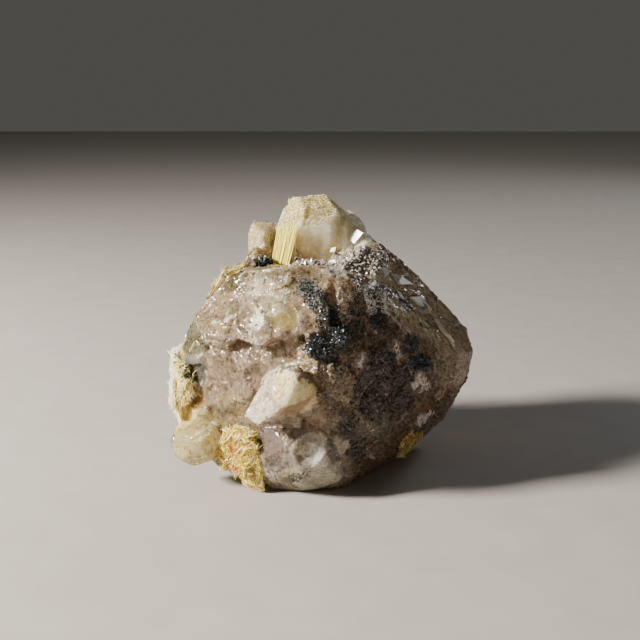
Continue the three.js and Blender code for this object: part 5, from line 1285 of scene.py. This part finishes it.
# lobes: middle and reach, mm
crusts = {
    "hematite_front_crust": dict(number=700, seed=21, lobes=(((-0.6, -18.2, 30.2), (2.9, 3, 2.3)),
                                                             ((3.0, -16.9, 32.4), (2.1, 3, 1.9)))),
    "hematite_right_crust": dict(number=420, seed=22, lobes=(((18.3, -6.5, 24.2), (2.2, 3, 1.6)),
                                                             ((16.6, -8.6, 25.2), (1.0, 2, 1.0)))),
}


def makeCrust(name, crust, points, normals):
    # plates crowd on each lobe, the biggest in its middle
    rng = np.random.default_rng(crust["seed"])
    number = crust["number"]
    weight = np.zeros(len(points))
    for middle, reach in crust["lobes"]:
        far = np.linalg.norm((points - middle) / reach, axis=1) + 0.25 * softNoise(points, 0.9, 140)
        weight = np.maximum(weight, smooth((1 - far) * 3))
    picks = pick(rng, weight, number)
    radii = (0.22 + 0.42 * rng.uniform(0, 1, number) ** 2) * (0.5 + 0.5 * weight[picks])
    axes = unit(normals[picks] + rng.normal(0, 0.8, (number, 3)))
    middles = points[picks] + normals[picks] * rng.uniform(-0.02, 0.28, (number, 1)) * weight[picks][:, None]
    return newPiece(name + "_plates", *plateMesh(middles, axes, radii, rng.uniform(0.08, 0.22, number), rng))


rosette = dict(middle=(-11.3, 0.2, 41.3), reach=2.4, plates=96, facing=(-0.1, -0.8, 0.5), seed=3)


def makeRosette():
    # plates stand round the middle like petals, each leaning out from the rosette's own axis
    rng = np.random.default_rng(rosette["seed"])
    number = rosette["plates"]
    away = unit(rng.normal(0, 1, (number, 3)))
    far = rng.uniform(0.25, 0.72, number)[:, None] * rosette["reach"]
    middles = np.array(rosette["middle"]) + away * far
    axes = unit(np.cross(away, unit(np.array(rosette["facing"]))) + 0.5 * rng.normal(0, 1, (number, 3)))
    radii = rng.uniform(0.35, 0.62, number) * rosette["reach"] * 0.72
    return newPiece("rosette_plates", *plateMesh(middles, axes, radii, rng.uniform(0.10, 0.2, number), rng))


# thin six-cornered chips almost flush with the skin, each a flat face with a shade of its own; pale: the share of them
# laid pale as painted glints. shifts: how far its finish may differ from the skin's
chips = dict(
    number=6500, radius=(0.15, 0.7), thick=(0.05, 0.12), tilt=0.11, seed=31, pale=0.06, mottle=0.12,
    shifts=dict(clear=(0.0, 0.2), frost=(-0.08, 0.06), grain=(-0.5, -0.2), speck=(0, 0), glow=(0, 0)),
)


def makeChips(points, normals, layers, keep, slope, right):
    # plates on the skin's points, few where it is smooth, drawn out down the glassy slope
    rng = np.random.default_rng(chips["seed"])
    number = chips["number"]
    picks = pick(rng, np.clip(1 - keep, 0.0, 1) * (points[:, 2] > 1.2), number)
    low, high = chips["radius"]
    radii = low + (high - low) * rng.uniform(0, 1, number) ** 1.7
    onSlope = slope[picks][:, None]
    axes = unit(normals[picks] + rng.normal(0, chips["tilt"], (number, 3)))
    along = unit(rng.normal(0, 1, (number, 3)) * (1 - 0.93 * onSlope) + downSlope * onSlope)
    thick = rng.uniform(*chips["thick"], number)
    middles = points[picks] + normals[picks] * rng.uniform(-0.02, 0.05, (number, 1))
    flakes, faces = plateMesh(middles, axes, radii, thick, rng, along, slim=(0.3, 0.9), uneven=(0.6, 1.15))
    flakes[:, 2] = np.maximum(flakes[:, 2], 0.05)
    piece = newPiece("quartz_chips", flakes, faces)
    spread = 0.06 + 0.18 * right[picks] * (1 - 0.8 * slope[picks])
    tone = layers["tone"][picks] * np.exp(rng.normal(0, 1, number) * spread)[:, None]
    # a few chips are laid pale: painted glints, fewer on the dark right side
    pale = (rng.uniform(0, 1, number) < chips["pale"] * (1 - 0.6 * right[picks]))[:, None]
    tone = np.where(pale, tone + (shade(250, 240, 222) - tone) * rng.uniform(0.3, 0.9, (number, 1)), tone)
    paint(piece, "tone", np.repeat(np.clip(tone, 0, 1), perHexagon, 0))
    for key, shift in chips["shifts"].items():
        paint(piece, key, np.repeat(np.clip(layers[key][picks] + rng.uniform(*shift, number), 0, 1), perHexagon))
    paint(piece, "mottle", np.full(len(flakes), chips["mottle"]))
    paint(piece, "streak", np.zeros(len(flakes)))
    return piece


# the bright strokes are broken up: small bright slivers follow each of them, with gaps. least: from how bright
# on (red + green + blue) a stroke has them
# the slivers take their strokes' colours, so along the glint and highlight lines they are painted highlights too
edges = dict(
    step=0.26, least=600, radius=(0.1, 0.3), thick=(0.05, 0.09), slim=(0.3, 0.7), tilt=0.22, seed=91,
    finish=dict(clear=0.08, frost=0.16, grain=0.3, speck=0.0, glow=0.25, mottle=0.1, streak=0.0),
)


def isBright(colour):
    return sum(colour) >= edges["least"]


def makeEdges(points, normals):
    # places are drawn by chance along each straight part: a + (b - a) . chance
    rng = np.random.default_rng(edges["seed"])
    rows = []
    for line, _, strength, colour in strokes.values():
        if not isBright(colour):
            continue
        for a, b in zip(np.array(line[:-1], float), np.array(line[1:], float)):
            number = max(2, int(np.linalg.norm(b - a) / edges["step"]))
            place = a + (b - a) * rng.uniform(0, 1, (number, 1))
            rows.append(np.hstack([place, np.tile([*unit(b - a), *shade(*colour), strength], (number, 1))]))
    rows = np.concatenate(rows)
    rows = rows[rng.uniform(0, 1, len(rows)) < 0.85 * rows[:, 9]]
    places, ways, tones = rows[:, :3], rows[:, 3:6], rows[:, 6:9]
    # each goes to the nearest point of the skin's front
    front = np.flatnonzero((points[:, 1] < frontDepth) & (normals[:, 1] < 0.3))
    near = points[front] * flattened
    picks = np.concatenate([front[((near[None] - part[:, None] * flattened) ** 2).sum(2).argmin(1)]
                            for part in np.array_split(places, max(1, len(places) // 40))])
    number = len(picks)
    axes = unit(normals[picks] + rng.normal(0, edges["tilt"], (number, 3)))
    ways = unit(ways + rng.normal(0, 0.35, (number, 3)))
    low, high = edges["radius"]
    radii = low + (high - low) * rng.uniform(0, 1, number) ** 1.5
    middles = places * (1, 0, 1) + points[picks] * (0, 1, 0)
    middles = 0.5 * middles + 0.5 * points[picks] + normals[picks] * rng.uniform(-0.01, 0.05, (number, 1))
    slivers, faces = plateMesh(middles, axes, radii, rng.uniform(*edges["thick"], number), rng, ways,
                               slim=edges["slim"], uneven=(0.6, 1.15))
    piece = newPiece("quartz_bright_edges", slivers, faces)
    paint(piece, "tone", np.repeat(tones * rng.uniform(0.72, 1.0, (number, 1)), perHexagon, 0))
    for key, value in edges["finish"].items():
        paint(piece, key, np.full(len(slivers), value))
    return piece


druse = dict(
    number=620, size=(0.26, 0.9), seed=12, inner=(146, 134, 120), outer=(250, 246, 238),
    # where the points crowd, mm: middle, reach, share
    crowds=(((6.8, -3.4, 42.7), (4.9, 6, 3.6), 5.0), ((-1.6, -5.0, 42.7), (5.4, 1.3, 0.9), 12.0),
            ((-12.1, -14.9, 34.3), (2.2, 3, 2.6), 0.5), ((-9.5, -9.0, 39.5), (3.5, 4, 2.0), 0.8)),
    # the finish of the points, then of the bright faces
    finish=dict(clear=(0.3, 0.0), frost=(0.12, 0.28), grain=(0.1, 0.0), speck=(0.0, 0.0)),
    # bright faces standing out of it, their white a painted glint, then faces down the slope: how far the back is set
    # off, and of each face the four corners, mm, and the colour
    faces=(
        ((0.1, 1.1, -0.35), (
            (((5.0, 5.2, 45.8), (6.6, 4.9, 47.6), (7.7, 3.8, 47.1), (6.0, 4.0, 45.0)), (240, 238, 230)),
            (((1.3, 1.3, 43.8), (1.5, 1.6, 44.5), (2.4, 0.8, 44.9), (2.2, 0.7, 44.1)), (240, 238, 230)),
            (((0.9, -4.5, 43.0), (1.8, -4.9, 43.5), (2.4, -5.5, 43.1), (1.5, -5.3, 42.5)), (240, 238, 230)),
            (((7.1, 0.3, 44.7), (7.6, 0.2, 45.2), (8.1, -0.7, 44.7), (7.4, -0.3, 44.2)), (240, 238, 230)))),
        ((-0.3, 0.25, -0.3), (
            (((8.5, -4.1, 42.1), (10.3, -2.6, 42.2), (13.1, -0.8, 40.5), (11.6, -3.7, 39.9)), (196, 186, 168)),
            (((12.9, -1.6, 40.3), (15.3, 2.4, 38.8), (17.6, 2.6, 37.2), (14.2, -1.9, 38.2)), (178, 166, 146)),
            (((16.6, -1.5, 35.6), (19.2, 0.8, 35.2), (21.1, -0.1, 32.6), (18.7, -1.7, 34.0)), (208, 198, 178)),
            (((21.4, -0.4, 31.3), (22.5, -0.1, 30.4), (24.6, -1.1, 27.7), (23.0, -1.0, 28.8)), (206, 196, 178)),
            (((13.9, -3.3, 37.3), (14.8, -2.4, 36.7), (15.5, -3.2, 35.3), (14.5, -3.7, 36.2)), (236, 232, 222)),
            (((24.0, -0.9, 28.2), (24.6, -0.8, 28.0), (26.5, 0.5, 25.2), (25.4, -0.0, 26.1)), (206, 196, 178)))),
    ),
)
slabSides = np.array([(3, 2, 1, 0), (4, 5, 6, 7), (0, 1, 5, 4), (1, 2, 6, 5), (2, 3, 7, 6), (3, 0, 4, 7)])


def makeDruse(points, normals):
    # a stubby six-sided prism with a six-sided point, sunk by its root
    rng = np.random.default_rng(druse["seed"])
    number = druse["number"]
    picks = pick(rng, crowd(points, druse["crowds"], 2.5), number)
    size = rng.uniform(*druse["size"], number)
    axes = unit(normals[picks] + rng.normal(0, 0.5, (number, 3)))
    across = unit(np.cross(axes, unit(rng.normal(0, 1, (number, 3)))))
    spoke = hexagon(across, np.cross(axes, across)) * (size / 2)[:, None, None]
    root = points[picks] - normals[picks] * (0.35 * size)[:, None]
    shoulder = root + axes * (size * rng.uniform(0.5, 0.8, number))[:, None]
    crystals, faces = sixSided(root[:, None] + spoke, shoulder[:, None] + spoke, root,
                               shoulder + axes * (size * 0.5)[:, None])
    # the bright faces are slabs: the corners, and the same corners set back
    rows = [(corners, back, colour) for back, group in druse["faces"] for corners, colour in group]
    front = np.array([corners for corners, back, colour in rows])
    slabs = np.concatenate([front, front + np.array([back for corners, back, colour in rows])[:, None]], 1)
    blocks = (len(crystals) + np.arange(len(rows))[:, None, None] * 8 + slabSides).reshape(-1, 4)
    piece = newPiece("quartz_druse", np.concatenate([crystals, slabs.reshape(-1, 3)]), faces + blocks.tolist())
    tone = blend(druse["inner"], druse["outer"], (rng.uniform(0, 1, number) ** 2.2)[:, None])
    paint(piece, "tone", np.concatenate([np.repeat(tone, perHexagon, 0),
                                         np.repeat([shade(*colour) for corners, back, colour in rows], 8, 0)]))
    for key, values in druse["finish"].items():
        paint(piece, key, np.repeat(values, (len(crystals), len(rows) * 8)))
    return piece


# all pieces

quartzFinish = quartzMaterial()
needleFinish = rutileMaterial()
hematiteFinish = hematiteMaterial()

quartzSkin, skinPoints, skinQuads, skinLayers, skinCrystals, zones = makeQuartz()
settle(quartzSkin, quartzFinish, "quartz")
print("quartz skin made")

skinNormals = pointNormals(skinPoints, skinQuads)
settle(makeDruse(skinPoints, skinNormals), quartzFinish)
settle(makeChips(skinPoints, skinNormals, skinLayers, **zones), quartzFinish)
settle(makeEdges(skinPoints, skinNormals), quartzFinish)
print("druse and chips made")

for seed, (name, mat) in enumerate(felts.items(), 100):
    settle(makeNeedles(name, mat, seed), needleFinish, name)
settle(makeBundle(), needleFinish, "rutile_tall_crystal_blades")
settle(makeHairs(skinPoints, skinNormals, skinCrystals), needleFinish)
print("rutile made")

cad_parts["hematite_rosette"].data.materials.clear()
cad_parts["hematite_rosette"].data.materials.append(hematiteFinish)
for name, crust in crusts.items():
    settle(makeCrust(name, crust, skinPoints, skinNormals), hematiteFinish, name)
settle(makeGrains(skinPoints, skinNormals), hematiteFinish)
settle(makeRosette(), hematiteFinish)
print("hematite made")


# floor, light, camera

stage = dict(
    floorHalf=1500,   # mm
    floorDark=(0.36, 0.335, 0.315), floorPale=(0.44, 0.41, 0.39), world=(0.078, 0.077, 0.072),
    # where each lamp stands and what it points at, m, its size and strength, its colour
    lamps=dict(key=((-0.416, -0.125, 0.262), (0, 0, 0.025), 0.07, 10.5, (1, 0.94, 0.83)),
               fill=((0.40, 0.44, 0.36), (0, 0, 0.03), 0.17, 0.65, (0.92, 0.96, 1))),
    cameraPlace=(-0.00062, -0.16724, 0.07396), cameraDown=14.518, lens=50, sensor=36,
)

floorHalf = stage["floorHalf"]
floor = newPiece("floor", [(x * floorHalf, y * floorHalf, 0) for x, y in ((-1, -1), (1, -1), (1, 1), (-1, 1))],
                 [(0, 1, 2, 3)])
floorFinish, floorTree, floorShader = newMaterial("paleFloor")
floorClouds = noise(floorTree, objectPlace(floorTree), 120.0, 6.0).outputs["Fac"]
feed(floorTree, floorShader, {"Base Color": twoColours(floorTree, floorClouds, stage["floorDark"], stage["floorPale"]),
                              "Roughness": 0.7})
floor.data.materials.append(floorFinish)

for name, (place, aim, size, power, colour) in stage["lamps"].items():
    light = bpy.data.lights.new(name, "AREA")
    light.shape = "SQUARE"
    light.size = size
    light.energy = power
    light.color = colour
    lamp = bpy.data.objects.new(name, light)
    lamp.location = place
    lamp.rotation_euler = (Vector(aim) - Vector(place)).to_track_quat("-Z", "Y").to_euler()
    bpy.context.scene.collection.objects.link(lamp)
world = bpy.data.worlds.new("studio")
world.use_nodes = True
world.node_tree.nodes["Background"].inputs[0].default_value = (*stage["world"], 1)
bpy.context.scene.world = world

cameraData = bpy.data.cameras.new("camera")
cameraData.lens = stage["lens"]
cameraData.sensor_width = stage["sensor"]
cameraData.clip_start = 0.005
camera = bpy.data.objects.new("camera", cameraData)
camera.location = stage["cameraPlace"]
camera.rotation_euler = (math.radians(90 - stage["cameraDown"]), 0, 0)
bpy.context.scene.collection.objects.link(camera)
bpy.context.scene.camera = camera
print("stage made")
